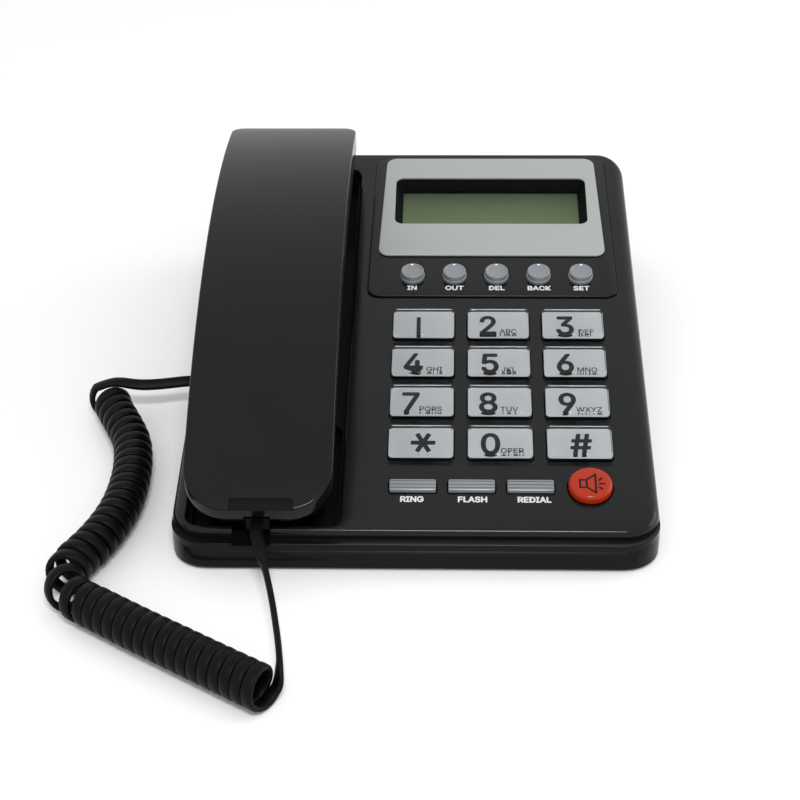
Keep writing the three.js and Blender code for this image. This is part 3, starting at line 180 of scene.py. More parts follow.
HOLE_REACH = (-0.0035, 0.002)
KEY_HOLE_CORNER = 0.0014
BAR_HOLE_CORNER = 0.001
KEY_EDGE = 0.0004
KEY_CORNER = 0.0012
CORE_INSET = 0.0004
CORE_CORNER = 0.001
FLANGE_STEP = 0.00005
SHADOW_DEPTH = 0.0002

# Print: size, boldness and stretch of each kind of lettering, and its place across the face
INK_LIFT = 0.00003
INK_DEPTH = 0.00003
STROKE_RISE = 0.00004
DIGIT_STYLE = (0.0184, 0.00036, 0.9)
DIGIT_DROP = 0.0007
LETTERS_STYLE = (0.0045, 0.00004, 0.97)
LETTERS_DROP = 0.0039
ROUND_LABEL_STYLE = (0.0044, 0.00013, 1.04)
ROUND_LABEL_Y = 0.1227
BAR_LABEL_STYLE = (0.0046, 0.00014, 0.97)
BAR_LABEL_Y = 0.0155
ONE_STROKE = ((-0.0026, -0.0011), (-0.0066, 0.0036))
STAR_ARM = (0.0084, 0.0016)
STAR_DROP = 0.0003
STAR_STRETCH = 1.17
PICTOGRAM_STROKE = 0.00068
PICTOGRAM_LIFT = 0.00002
PICTOGRAM_DROP = 0.0009
PICTOGRAM_BOX = [(-0.0036, -0.0017), (-0.0014, -0.0017), (-0.0014, 0.0017), (-0.0036, 0.0017)]
PICTOGRAM_HORN = [(-0.0014, -0.0017), (0.0016, -0.0042), (0.0016, 0.0042), (-0.0014, 0.0017)]
PICTOGRAM_WAVES = [
    ((0.0028, -0.0016), (0.0036, -0.0024)), ((0.0030, 0), (0.0044, 0)), ((0.0028, 0.0016), (0.0036, 0.0024)),
]

# Where the keys and buttons stand, and their print: digit and its shift, letters and theirs
KEY_PLACES = [
    (KEY_X + (column - 1) * KEY_PITCH_X, KEY_FIRST_Y - row * KEY_PITCH_Y)
    for row in range(4) for column in range(3)
]
ROUND_PLACES = [ROUND_X + step * ROUND_PITCH for step in (-2, -1, 0, 1, 2)]
BAR_PLACES = [BAR_X + i * BAR_PITCH for i in range(3)]
KEYS = [
    ("key_1", "1", 0, "", 0), ("key_2", "2", -0.0037, "ABC", 0.0036),
    ("key_3", "3", -0.0027, "DEF", 0.0047), ("key_4", "4", -0.0034, "GHI", 0.0041),
    ("key_5", "5", -0.0031, "JKL", 0.0035), ("key_6", "6", -0.0034, "MNO", 0.0042),
    ("key_7", "7", -0.0039, "PQRS", 0.003), ("key_8", "8", -0.0039, "TUV", 0.0033),
    ("key_9", "9", -0.0034, "WXYZ", 0.004), ("key_star", "*", 0.0007, "", 0),
    ("key_0", "0", -0.0033, "OPER", 0.004), ("key_hash", "#", 0.0005, "", 0),
]
ROUND_WORDS = {
    "in_button": "IN", "out_button": "OUT", "delete_button": "DEL", "back_button": "BACK",
    "set_button": "SET",
}
BAR_WORDS = {
    "ring_button": ("RING", -0.0002), "flash_button": ("FLASH", 0.0003), "redial_button": ("REDIAL", 0.0011),
}

# Display panel and its window, in the face's frame
PANEL_X = 0.0265
PANEL = {"front_width": 0.093, "rear_width": 0.090, "front": 0.1182, "rear": 0.2026, "corner": 0.0045}
PANEL_PROUD = 0.0008
PANEL_SINK = 0.001
PANEL_GROOVE = 0.0004
PANEL_EDGE = 0.0004
PANEL_OPENING = {"width": 0.080, "y": (0.1216, 0.1966), "z": (-0.0075, 0.001), "corner": 0.002}
PLATE = {"front_width": 0.0859, "rear_width": 0.0821, "front": 0.1409, "rear": 0.2016, "corner": 0.004}
PLATE_BOTTOM = 0.0011
PLATE_THICKNESS = 0.0006
PLATE_EDGE = 0.00025
WINDOW_SIZE = (0.0744, 0.0289)
WINDOW_MIDDLE = (PANEL_X, 0.17425)
WINDOW_CORNER = 0.003
WINDOW_SLOPE_IN = 0.0028
WINDOW_REAR_SHIFT = 0.0013
WINDOW_FOOT_CORNER = 0.0006
LENS_TOP = -0.0041
LENS_MARGIN = 0.0032
NEST_BOTTOM = -0.0069
NEST_WALL_CORNER = 0.001
NEST_CORNER = 0.0004
# Painted shade on the display: where its green starts and ends darkening towards the rear
DISPLAY_SHADE_Y = (0.058, 0.084)

# Cord: a flat cord wound right-handed, and its two leads
CORD_WIDTH = 0.0042
CORD_THICKNESS = 0.0021
CURL_RADIUS_FRONT = 0.0064
CURL_RADIUS_REAR = 0.0057
CURL_COUNT = 40
CURL_STEPS = 24
CURL_EXTRA_SHARE = 5 / 8
CURL_START = math.radians(-45)
CURL_HEIGHT = 0.008
BEND_SPREAD_SHARE = 1.2
BEND_PLACE_SHARE = 0.425
BEND_REACH_SHARE = 0.04
CROWD_SHARE = 0.15
CROWD_REACH_SHARE = 0.05
END_FLARE = 0.0012
END_FLARE_SHARE = 0.03
CURL_AXIS_POINTS = [
    (-0.0439, -0.1686), (-0.0565, -0.1606), (-0.0705, -0.1516), (-0.0845, -0.1426), (-0.0985, -0.1332),
    (-0.1079, -0.1266), (-0.1131, -0.1186), (-0.1113, -0.1096), (-0.1067, -0.1005), (-0.1027, -0.0900),
    (-0.1001, -0.0790), (-0.0991, -0.0670), (-0.0995, -0.0545), (-0.1017, -0.0420), (-0.1055, -0.0325),
    (-0.1093, -0.0245), (-0.1121, -0.0186), (-0.1134, -0.0144),
]
HANDSET_LEAD_POINTS = [
    (-0.0493, -0.1133, 0.0170), (-0.0465, -0.1236, 0.0150), (-0.0441, -0.1336, 0.0130),
    (-0.0423, -0.1427, 0.0115), (-0.0407, -0.1520, 0.0104), (-0.0400, -0.1582, 0.0092),
]
BASE_LEAD_POINTS = [(-0.1064, -0.0154, 0.0142), (-0.0995, -0.0153, 0.0138), (-0.0915, -0.0141, 0.0138)]
LEAD_TURNS = [(0, (0, 0.16, -0.99)), (0.1, (0, 0.16, -0.99)), (0.3, (1, 0.1, 0)), (0.8, (1, 0.1, 0))]
TAIL_TURNS = [(0.4, (0, -0.6, 0.8)), (0.85, (0, -0.6, 0.8)), (1, (0, 0, 1))]
CORD_STEP = 0.0008
CORD_SIDES = 12
CORD_SQUARENESS = 0.7
EASING_ROUNDS = 50
PLUG_LIFT = 0.00509
PLUG_END_Y = -0.0004
BASE_PLUG_END = (-0.079975, -0.0122, 0.0138)

# Lamps: place, what they point at, size and power
LAMPS = {
    "key_light": ((0.055, -0.72, 0.95), (0, 0, 0), (0.28, 0.12), 5.5),
    "side_light": ((1.15, 0.25, 0.4), (0, 0, 0.02), (0.9, 0.6), 3.5),
}
WORLD_LIGHT = 0.8
WORLD_SEEN = 1.0


# Camera
def add_camera():
    data = bpy.data.cameras.new("camera")
    data.lens = CAMERA_LENS
    data.sensor_width = 36
    data.clip_start = 0.01
    camera = bpy.data.objects.new("camera", data)
    bpy.context.scene.collection.objects.link(camera)
    right, up = Vector(CAMERA_RIGHT), Vector(CAMERA_UP)
    turn = Matrix((right, up, right.cross(up))).transposed().to_4x4()
    camera.matrix_world = Matrix.Translation(CAMERA_PLACE) @ turn
    bpy.context.scene.camera = camera


add_camera()


# Shader maths
class Socket:
    """An output of a node, on which + and * add Math nodes."""

    def __init__(self, finish, output):
        self.finish = finish
        self.output = output

    def _math(self, operation, first, second):
        return self.finish.node("ShaderNodeMath", {"operation": operation}, {0: first, 1: second})

    def __add__(self, other):
        return self._math("ADD", self, other)

    def __radd__(self, other):
        return self._math("ADD", other, self)

    def __mul__(self, other):
        return self._math("MULTIPLY", self, other)

    def __rmul__(self, other):
        return self._math("MULTIPLY", other, self)


def linear(red, green, blue):
    """A colour from 0 to 255 a channel, as the renderer's linear light."""
    shares = [channel / 255 for channel in (red, green, blue)]
    return tuple(s / 12.92 if s <= 0.04045 else ((s + 0.055) / 1.055) ** 2.4 for s in shares) + (1.0,)


class Finish:
    """A material with one Principled shader; node() adds any other node."""

    def __init__(self, name):
        self.material = bpy.data.materials.new(name)
        self.material.use_nodes = True
        self.nodes = self.material.node_tree.nodes
        self.links = self.material.node_tree.links
        self.shader = self.nodes["Principled BSDF"]
        self.place = Socket(self, self.nodes.new("ShaderNodeTexCoord").outputs["Object"])

    def feed(self, node, inputs):
        for key, value in inputs.items():
            if isinstance(value, Socket):
                self.links.new(value.output, node.inputs[key])
            else:
                node.inputs[key].default_value = value

    def node(self, kind, settings, inputs, output=0):
        node = self.nodes.new(kind)
        for key, value in settings.items():
            setattr(node, key, value)
        self.feed(node, inputs)
        return Socket(self, node.outputs[output])

    def noise(self, scale, detail):
        return self.node("ShaderNodeTexNoise", {}, {
            "Vector": self.place, "Scale": scale, "Detail": detail, "Roughness": 0.55,
        })

    def blend(self, share, first, second):
        return self.node("ShaderNodeMix", {"data_type": "RGBA"}, {0: share, 6: first, 7: second}, 2)

    def bump(self, height, strength, distance):
        return self.node("ShaderNodeBump", {}, {
            "Height": height, "Strength": strength, "Distance": distance,
        })

    def surface(self, **inputs):
        self.feed(self.shader, {key.replace("_", " "): value for key, value in inputs.items()})
        return self.material


# Finishes
def moulded_plastic(name, colour, worn, roughness, shine=0.5):
    """Injection-moulded plastic: handling marks in its gloss and a fine texture."""
    finish = Finish(name)
    marks = finish.noise(38.0, 4.0)
    texture = finish.noise(1800.0, 2.0)
    return finish.surface(
        Base_Color=finish.blend(marks, linear(*colour), linear(*worn)),
        Roughness=roughness - 0.04 + 0.08 * marks, Specular_IOR_Level=shine,
        Normal=finish.bump(texture, 0.25, 0.00002),
    )


black_gloss = moulded_plastic("black_gloss", (11, 14, 13), (17, 20, 19), 0.17, shine=0.22)
handset_gloss = moulded_plastic("handset_gloss", (9, 11, 10), (14, 16, 15), 0.17, shine=0.2)
tray_gloss = moulded_plastic("tray_gloss", (9, 10, 12), (13, 15, 17), 0.26, shine=0.13)
# Painted shade: a dull near black given to faces deep in the handset's trough, in the button holes, on the
# display window's walls and in the handset's scoop, where shade falls
shadow_black = moulded_plastic("shadow_black", (4, 5, 5), (7, 8, 8), 0.6, shine=0.1)
black_matt = moulded_plastic("black_matt", (24, 25, 26), (32, 33, 34), 0.55)
silver_button = moulded_plastic("silver_button", (117, 120, 125), (131, 134, 139), 0.2, shine=0.7)
key_silver = moulded_plastic("key_silver", (186, 189, 192), (196, 199, 202), 0.4)
connector_plastic = moulded_plastic("connector_plastic", (52, 54, 57), (62, 64, 67), 0.45)
plug_plastic = moulded_plastic("plug_plastic", (5, 5, 6), (9, 9, 10), 0.5, shine=0.06)
foot_rubber = moulded_plastic("foot_rubber", (30, 30, 30), (42, 42, 42), 0.8)
silicone = moulded_plastic("silicone", (138, 140, 142), (150, 152, 154), 0.65)
cell_jacket = moulded_plastic("cell_jacket", (70, 86, 104), (82, 98, 116), 0.35)
board_green = moulded_plastic("board_green", (28, 84, 48), (40, 104, 62), 0.5)
cone_black = moulded_plastic("cone_black", (34, 34, 34), (46, 45, 44), 0.8)


def brushed_metal(name, colour, worn, roughness):
    finish = Finish(name)
    streaks = finish.node("ShaderNodeTexNoise", {}, {
        "Vector": finish.node("ShaderNodeMapping", {}, {
            "Vector": finish.place, "Scale": (60.0, 2400.0, 60.0),
        }), "Scale": 1.0, "Detail": 3.0,
    })
    return finish.surface(
        Base_Color=finish.blend(streaks, linear(*colour), linear(*worn)), Metallic=1.0,
        Roughness=roughness + 0.15 * streaks,
    )


steel = brushed_metal("steel", (150, 152, 155), (182, 184, 186), 0.3)
ballast_iron = brushed_metal("ballast_iron", (80, 82, 84), (104, 106, 108), 0.5)


def silver_lacquer():
    """Fine metallic lacquer on the display's plate."""
    finish = Finish("silver_lacquer")
    flake = finish.noise(5200.0, 1.0)
    cloud = finish.noise(22.0, 3.0)
    return finish.surface(
        Base_Color=finish.blend(flake, linear(153, 158, 155), linear(171, 176, 173)),
        Metallic=0.15, Roughness=0.4 + 0.08 * cloud,
        Normal=finish.bump(flake, 0.1, 0.00001),
    )


def display_glass():
    """The display's grey green, with painted shade that darkens it towards its rear edge."""
    finish = Finish("display_green")
    split = finish.node("ShaderNodeSeparateXYZ", {}, {0: finish.place}, 1)
    # Painted shade: the share of the darker green rises towards the rear edge, under the window's upper wall
    depth = finish.node("ShaderNodeMapRange", {}, {
        0: split, 1: DISPLAY_SHADE_Y[0], 2: DISPLAY_SHADE_Y[1],
    })
    grain = finish.noise(2600.0, 1.0)
    mottled = finish.blend(grain, linear(113, 131, 92), linear(118, 136, 97))
    return finish.surface(
        Base_Color=finish.blend(depth, mottled, linear(86, 97, 77)), Roughness=0.5, Specular_IOR_Level=0.1,
    )


def clear_cap():
    """Clear plastic of the keys' caps."""
    finish = Finish("key_clear")
    swirl = finish.noise(40.0, 1.0)
    return finish.surface(
        Base_Color=linear(244, 246, 247), Roughness=0.03 + 0.03 * swirl, Transmission_Weight=1.0, IOR=1.3,
    )


def display_window():
    finish = Finish("display_window")
    smear = finish.noise(60.0, 2.0)
    return finish.surface(
        Base_Color=linear(60, 70, 60), Roughness=0.04 + 0.05 * smear, Alpha=0.05 + 0.03 * smear,
        Specular_IOR_Level=0.2,
    )


def red_plastic():
    """Orange red plastic that lets some light through."""
    finish = Finish("red_plastic")
    cloud = finish.noise(160.0, 2.0)
    return finish.surface(
        Base_Color=finish.blend(cloud, linear(158, 38, 7), linear(170, 47, 11)), Specular_IOR_Level=0.25,
        Roughness=0.16 + 0.08 * cloud, Subsurface_Weight=0.15, Subsurface_Radius=(0.004, 0.0012, 0.0008),
        Subsurface_Scale=1.0,
    )


def printed_ink(name, colour, worn):
    finish = Finish(name)
    wear = finish.noise(1400.0, 2.0)
    return finish.surface(
        Base_Color=finish.blend(wear, linear(*colour), linear(*worn)),
        Roughness=0.45 + 0.1 * wear, Specular_IOR_Level=0.2,
    )


def cord_jacket():
    finish = Finish("cord_jacket")
    rub = finish.noise(120.0, 3.0)
    fine = finish.noise(3000.0, 1.0)
    return finish.surface(
        Base_Color=finish.blend(rub, linear(4, 5, 6), linear(8, 9, 11)),
        Roughness=0.38 + 0.14 * rub, Specular_IOR_Level=0.1, Normal=finish.bump(fine, 0.12, 0.00002),
    )


silver_plate = silver_lacquer()
display_green = display_glass()
lens_clear = display_window()
key_clear = clear_cap()
red_button = red_plastic()
black_ink = printed_ink("black_ink", (2, 2, 3), (6, 6, 8))
white_ink = printed_ink("white_ink", (226, 228, 228), (205, 208, 208))
cord_black = cord_jacket()


# Modelling helpers
def deselect():
    bpy.ops.object.select_all(action="DESELECT")


def only(piece):
    deselect()
    piece.select_set(True)
    bpy.context.view_layer.objects.active = piece


def edit(piece, action="SELECT"):
    only(piece)
    bpy.ops.object.mode_set(mode="EDIT")
    bpy.ops.mesh.select_all(action=action)


def done(piece):
    bpy.ops.object.mode_set(mode="OBJECT")
    return piece


def face_outward(piece):
    edit(piece)
    bpy.ops.mesh.remove_doubles(threshold=SAME)
    bpy.ops.mesh.normals_make_consistent(inside=False)
    return done(piece)


def fix_place(piece):
    only(piece)
    bpy.ops.object.transform_apply(location=True, rotation=True, scale=True)
    return piece


def pick_vertices(piece, wanted):
    """Selects the vertices that wanted(co) picks, in edit mode."""
    edit(piece, "DESELECT")
    bpy.ops.mesh.select_mode(type="VERT")
    bpy.ops.object.mode_set(mode="OBJECT")
    for vertex in piece.data.vertices:
        vertex.select = wanted(vertex.co)
    bpy.ops.object.mode_set(mode="EDIT")


def smooth(piece, degrees=35):
    only(piece)
    bpy.ops.object.shade_smooth_by_angle(angle=math.radians(degrees))
    return piece


def rectangle(name, ends, z, corners, segments=8):
    """A flat rounded rectangle; corners is one radius, or one for the front and one for the rear."""
    (x0, x1), (y0, y1) = ends
    deselect()
    bpy.ops.mesh.primitive_plane_add(size=1, location=((x0 + x1) / 2, (y0 + y1) / 2, z))
    piece = bpy.context.object
    piece.name = name
    piece.scale = (x1 - x0, y1 - y0, 1)
    fix_place(piece)
    radii = corners if isinstance(corners, tuple) else (corners, corners)
    for radius, y in zip(radii, (y0, y1)):
        pick_vertices(piece, lambda co: any(abs(co.x - x) + abs(co.y - y) < SAME for x in (x0, x1)))
        bpy.ops.mesh.bevel(offset=radius, segments=segments, affect="VERTICES")
        done(piece)
    return piece


def about(x, y, size, grow=0.0):
    """The ends along x and y of a rectangle about a place."""
    half_x, half_y = size[0] / 2 + grow, size[1] / 2 + grow
    return (x - half_x, x + half_x), (y - half_y, y + half_y)


def disc(name, x, y, z, radius, sides=48):
    deselect()
    bpy.ops.mesh.primitive_circle_add(
        vertices=sides, radius=radius, fill_type="NGON", location=(x, y, z),
    )
    piece = bpy.context.object
    piece.name = name
    return fix_place(piece)


def raise_profile(piece, steps):
    """Raises a flat outline into a body, by steps of (rise, growth of the outline)."""
    points = np.array([vertex.co for vertex in piece.data.vertices])
    low, high = Vector(points.min(axis=0)), Vector(points.max(axis=0))
    middle = (low + high) / 2
    half = (high - low) / 2
    edit(piece)
    bpy.ops.mesh.select_mode(type="FACE")
    for rise, growth in steps:
        bpy.ops.mesh.extrude_region_move(TRANSFORM_OT_translate={"value": (0, 0, rise)})
        if growth:
            factors = ((half.x + growth) / half.x, (half.y + growth) / half.y, 1)
            bpy.ops.transform.resize(value=factors, center_override=middle)
            half += Vector((growth, growth, 0))
    done(piece)
    return face_outward(piece)


def block(name, flat_ends, height_ends, corner, segments=6):
    """A body with rounded corners, from its ends along x and y and its ends along z."""
    low, high = height_ends
    return raise_profile(rectangle(name, flat_ends, low, corner, segments), [(high - low, 0)])


def quarter(radius, segments, inward=True):
    """Steps that round an edge off: rise and growth of each."""
    steps = []
    for i in range(segments):
        a, b = [math.pi / 2 * (i + k) / segments for k in (0, 1)]
        steps.append((radius * (math.sin(b) - math.sin(a)), radius * (math.cos(b) - math.cos(a))))
    if inward:
        return steps
    return [(rise, -growth) for rise, growth in steps]


def boolean(piece, tool, operation="DIFFERENCE"):
    only(piece)
    modifier = piece.modifiers.new("boolean", "BOOLEAN")
    modifier.operation = operation
    modifier.solver = "EXACT"
    modifier.object = tool
    bpy.ops.object.modifier_apply(modifier=modifier.name)
    bpy.data.objects.remove(tool, do_unlink=True)
    return piece


def bevelled(piece, width, segments, method, angle=0):
    """Rounds the edges that have weights, or that are sharper than an angle in degrees."""
    only(piece)
    modifier = piece.modifiers.new("edge", "BEVEL")
    modifier.limit_method = method
    modifier.angle_limit = math.radians(angle)
    modifier.width = width
    modifier.segments = segments
    bpy.ops.object.modifier_apply(modifier=modifier.name)
    return piece


def joined(pieces):
    deselect()
    for piece in pieces:
        piece.select_set(True)
    bpy.context.view_layer.objects.active = pieces[0]
    bpy.ops.object.join()
    return pieces[0]


def copied(piece, name, shift=(0, 0, 0)):
    other = piece.copy()
    other.data = piece.data.copy()
    other.name = name
    other.data.transform(Matrix.Translation(shift))
    bpy.context.scene.collection.objects.link(other)
    return other


def copies(piece, places):
    """A copy of a piece for each name and place, instead of the piece itself."""
    made = [copied(piece, name, (x, y, 0)) for name, x, y in places]
    bpy.data.objects.remove(piece, do_unlink=True)
    return made


def on_face(piece):
    """Puts a piece that was made level into the sloping face's frame."""
    piece.data.transform(FACE)
    return piece


def paint_faces(piece, material, wanted):
    """Gives a second material to the faces whose middle, in the face's frame, wanted(co) picks."""
    to_face = FACE.inverted()
    piece.data.materials.append(material)
    for face in piece.data.polygons:
        if wanted(to_face @ face.center):
            face.material_index = len(piece.data.materials) - 1


def finish_piece(piece, body, material, slot, *nodes):
    """Gives a piece its material and its body, and hides the CAD nodes that it stands for."""
    piece.data.materials.clear()
    piece.data.materials.append(material)
    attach(piece, body)
    if nodes:
        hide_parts(*nodes)
    return piece


# Cord
def between(t, low, high, first, second):
    return (high - t) / (high - low) * first + (t - low) / (high - low) * second


def smooth_route(points, spacing):
    """Points at even spacing on a centripetal Catmull-Rom line through points."""
    points = np.array(points, float)
    padded = np.vstack([2 * points[0] - points[1], points, 2 * points[-1] - points[-2]])
    line = []
    for p0, p1, p2, p3 in zip(padded, padded[1:], padded[2:], padded[3:]):
        steps = [np.linalg.norm(b - a) ** 0.5 for a, b in ((p0, p1), (p1, p2), (p2, p3))]
        t0, t1, t2, t3 = np.concatenate([[0], np.cumsum(steps)])
        t = np.linspace(t1, t2, 40, endpoint=False)[:, None]
        a1, a2, a3 = between(t, t0, t1, p0, p1), between(t, t1, t2, p1, p2), between(t, t2, t3, p2, p3)
        line.append(between(t, t1, t2, between(t, t0, t2, a1, a2), between(t, t1, t3, a2, a3)))
    line = np.vstack(line + [points[-1:]])
    along = np.concatenate([[0], np.cumsum(np.linalg.norm(np.diff(line, axis=0), axis=1))])
    count = max(2, round(along[-1] / spacing) + 1)
    wanted = np.linspace(0, along[-1], count)
    return np.column_stack([np.interp(wanted, along, line[:, i]) for i in range(points.shape[1])])


def unit(vectors):
    return vectors / np.linalg.norm(vectors, axis=-1, keepdims=True)


def smooth_step(values, low, high):
    share = np.clip((values - low) / (high - low), 0, 1)
    return share ** 2 * (3 - 2 * share)


def curl_line():
    """The curls' middle line and the way outwards at each of its points."""
    axis = smooth_route(CURL_AXIS_POINTS, 0.0001)
    heading = unit(np.gradient(axis, axis=0))
    along = np.linspace(0, 1, len(axis))
    from_bend = along - BEND_PLACE_SHARE
    crowding = 1 + CROWD_SHARE * (1 - smooth_step(from_bend, -CROWD_REACH_SHARE, CROWD_REACH_SHARE))
    turns_per_length = crowding / (1 + BEND_SPREAD_SHARE * np.exp(-((from_bend / BEND_REACH_SHARE) ** 2)))
    turns = np.concatenate([[0], np.cumsum((turns_per_length[1:] + turns_per_length[:-1]) / 2)])
    whole = CURL_COUNT + CURL_EXTRA_SHARE
    steps = np.arange(round(whole * CURL_STEPS) + 1)
    places = np.interp(steps / steps[-1] * turns[-1], turns, along)
    middle = np.column_stack([np.interp(places, along, axis[:, i]) for i in (0, 1)])
    ahead = unit(np.column_stack([np.interp(places, along, heading[:, i]) for i in (0, 1)]))
    phase = CURL_START - steps / CURL_STEPS * 2 * math.pi
    flare = END_FLARE * smooth_step(places, 1 - END_FLARE_SHARE, 1)
    radius = CURL_RADIUS_FRONT + (CURL_RADIUS_REAR - CURL_RADIUS_FRONT) * places + flare
    out = np.column_stack([ahead[:, 1] * np.cos(phase), -ahead[:, 0] * np.cos(phase), np.sin(phase)])
    height = CURL_HEIGHT - (CURL_RADIUS_FRONT - radius)
    line = np.column_stack([middle, height]) + radius[:, None] * out
    return line, out


def sweep(name, line, out):
    """A flat cord with round edges along a line, its flat side facing the way out."""
    way = unit(np.gradient(line, axis=0))
    flat = unit(out - (out * way).sum(axis=1)[:, None] * way)
    across = np.cross(way, flat)
    turns = np.linspace(0, 2 * math.pi, CORD_SIDES, endpoint=False)
    section = np.column_stack([np.cos(turns), np.sin(turns)])
    section = np.sign(section) * np.abs(section) ** CORD_SQUARENESS
    vertices = [
        tuple(point + side * CORD_WIDTH / 2 * a + face * CORD_THICKNESS / 2 * f)
        for point, a, f in zip(line, across, flat) for side, face in section
    ]
    sides, last = CORD_SIDES, (len(line) - 1) * CORD_SIDES
    faces = [
        (i + k, i + (k + 1) % sides, i + sides + (k + 1) % sides, i + sides + k)
        for i in range(0, last, sides) for k in range(sides)
    ]
    faces += [tuple(range(sides)), tuple(range(last, last + sides))]
    mesh = bpy.data.meshes.new(name)
    mesh.from_pydata(vertices, [], faces)
    piece = bpy.data.objects.new(name, mesh)
    bpy.context.scene.collection.objects.link(piece)
    face_outward(piece)
    return smooth(piece, 50)


def eased(line, first):
    """Rounds a line off from its point number first on, with both ends kept."""
    line = line.copy()
    for _ in range(EASING_ROUNDS):
        line[first:-1] = (line[first - 1:-2] + 2 * line[first:-1] + line[first + 1:]) / 4
    return line


def line_length(line):
    return float(np.linalg.norm(np.diff(line, axis=0), axis=1).sum())


def turned_between(count, stops):
    """The way a flat cord's face points at each step, turning from stop to stop of (share, way)."""
    shares = [share for share, way in stops]
    ways = np.array([way for share, way in stops], float)
    places = np.linspace(0, 1, count)
    return unit(np.column_stack([np.interp(places, shares, ways[:, i]) for i in range(3)]))


def build_cord():
    curls, curl_out = curl_line()
    plug_end = FACE @ Vector((HANDSET_X, PLUG_END_Y - CLEARANCE, PLUG_LIFT))
    plug_way = (FACE.to_3x3() @ Vector((0, -1, 0))) * CORD_WIDTH
    start_way = unit(curls[1] - curls[0])
    lead = smooth_route([
        tuple(plug_end), tuple(plug_end + plug_way), *HANDSET_LEAD_POINTS,
        tuple(curls[0] - CORD_WIDTH / 2 * start_way), tuple(curls[0]),
    ], CORD_STEP)
    lead = np.vstack([lead, curls[1:3]])
    end_way = unit(curls[-1] - curls[-2])
    plug_x, plug_y, plug_z = BASE_PLUG_END
    tail = smooth_route([
        tuple(curls[-1]), tuple(curls[-1] + CORD_WIDTH / 2 * end_way), *BASE_LEAD_POINTS,
        (plug_x - CORD_WIDTH, plug_y, plug_z), (plug_x - CLEARANCE, plug_y, plug_z),
    ], CORD_STEP)[1:]
    tail_out = turned_between(len(tail), [(0, curl_out[-1])] + TAIL_TURNS)
    lead_out = turned_between(len(lead), LEAD_TURNS + [(1, curl_out[0])])
    lead_piece = sweep("handset_lead_cord", lead, lead_out)
    coil_line = eased(np.vstack([curls, tail]), len(curls) - 3)
    coil_piece = sweep("coiled_cord", coil_line, np.vstack([curl_out, tail_out]))
    for piece in (lead_piece, coil_piece):
        piece.data.materials.append(cord_black)
    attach(coil_piece, "base")
    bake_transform(lead_piece)
    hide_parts("handset_lead")
    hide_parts("curly_cord", "base_lead")
    print("cord lengths, m:", round(line_length(lead), 4), round(line_length(coil_line), 4))


build_cord()


# Base case
def face_level(y):
    """Height of the sloping face above a place in the base."""
    return FACE_FRONT[2] + (y - FACE_FRONT[1]) * math.tan(FACE_SLOPE)


def lean_in(vertex, half_width, front, rear, corner):
    """Moves a vertex of the top inwards by the draft of the side walls."""
    place = vertex.co
    out_x = max(0.0, abs(place.x) - half_width + corner) / corner
    out_y = max(0.0, place.y - rear + corner, front + corner - place.y) / corner
    lean = SIDE_DRAFT_SHARE * (place.z - SHELL_FOOT) * out_x ** 2
    place.x -= math.copysign(lean * out_x, place.x)
    if out_x < 1:
        place.y -= math.copysign(lean * out_y, place.y)


def wedge(name, inset, foot):
    """The case's block under the sloping face, or its hollow, with a sharper edge in front and behind."""
    half_width, corner = BASE_WIDTH / 2 - inset, CASE_CORNER - inset
    front, rear = LIP_FRONT + inset, BASE_REAR - inset
    ends = ((-half_width, half_width), (front, rear))
    piece = raise_profile(rectangle(name, ends, foot, corner, CORNER_STEPS), [(UNSHAPED, 0)])
    for vertex in piece.data.vertices:
        if vertex.co.z > UNSHAPED / 2:
            vertex.co.z = face_level(vertex.co.y) - inset
            lean_in(vertex, half_width, front, rear, corner)
            vertex.co.z = face_level(vertex.co.y) - inset
    weights = piece.data.attributes.new("bevel_weight_edge", "FLOAT", "EDGE")
    for edge in piece.data.edges:
        a, b = [piece.data.vertices[i].co for i in edge.vertices]
        if all(co.z > face_level(co.y) - inset - NEAR for co in (a, b)):
            y = (a.y + b.y) / 2
            fillets = [
                end_fillet + (SIDE_FILLET - end_fillet) * min(1.0, max(0.0, inside / corner))
                for end_fillet, inside in ((LIP_FILLET, y - front), (REAR_FILLET, rear - y))
            ]
            weights.data[edge.index].value = min(fillets) / SIDE_FILLET
    edit(bevelled(piece, SIDE_FILLET, 8, "WEIGHT"))
    bpy.ops.mesh.quads_convert_to_tris()
    return done(piece)


def rest_tool(name, size, grow, steps):
    """The handset's trough or a well as a body, for the cavity or, grown, for its walls."""
    half = size["width"] / 2 + grow
    ends = ((REST_X - half, REST_X + half), (size["front"] - grow, size["rear"] + grow))
    piece = rectangle(name, ends, -size["depth"] - grow, size["corner"] + grow)
    return on_face(raise_profile(piece, steps))


def face_tool(name, x, size):
    """A cutting body in the face's frame, about a place along x."""
    half = size["width"] / 2
    return on_face(block(name, ((x - half, x + half), size["y"]), size["z"], size["corner"]))


def button_holes():
    """The holes for the keys, the bars and the loudspeaker button as one cutting body."""
    hole = block("key_hole", about(0, 0, KEY_SIZE, KEY_GAP), HOLE_REACH, KEY_HOLE_CORNER)
    holes = copies(hole, [("key_hole", x, y) for x, y in KEY_PLACES])
    hole = block("bar_hole", about(0, 0, BAR_SIZE, KEY_GAP), HOLE_REACH, BAR_HOLE_CORNER)
    holes += copies(hole, [("bar_hole", x, BAR_Y) for x in BAR_PLACES])
    hole = disc("speaker_hole", *SPEAKER_PLACE, HOLE_REACH[0], SPEAKER_RADIUS + KEY_GAP, SPEAKER_SIDES)
    holes.append(raise_profile(hole, [(HOLE_REACH[1] - HOLE_REACH[0], 0)]))
    return on_face(joined(holes))


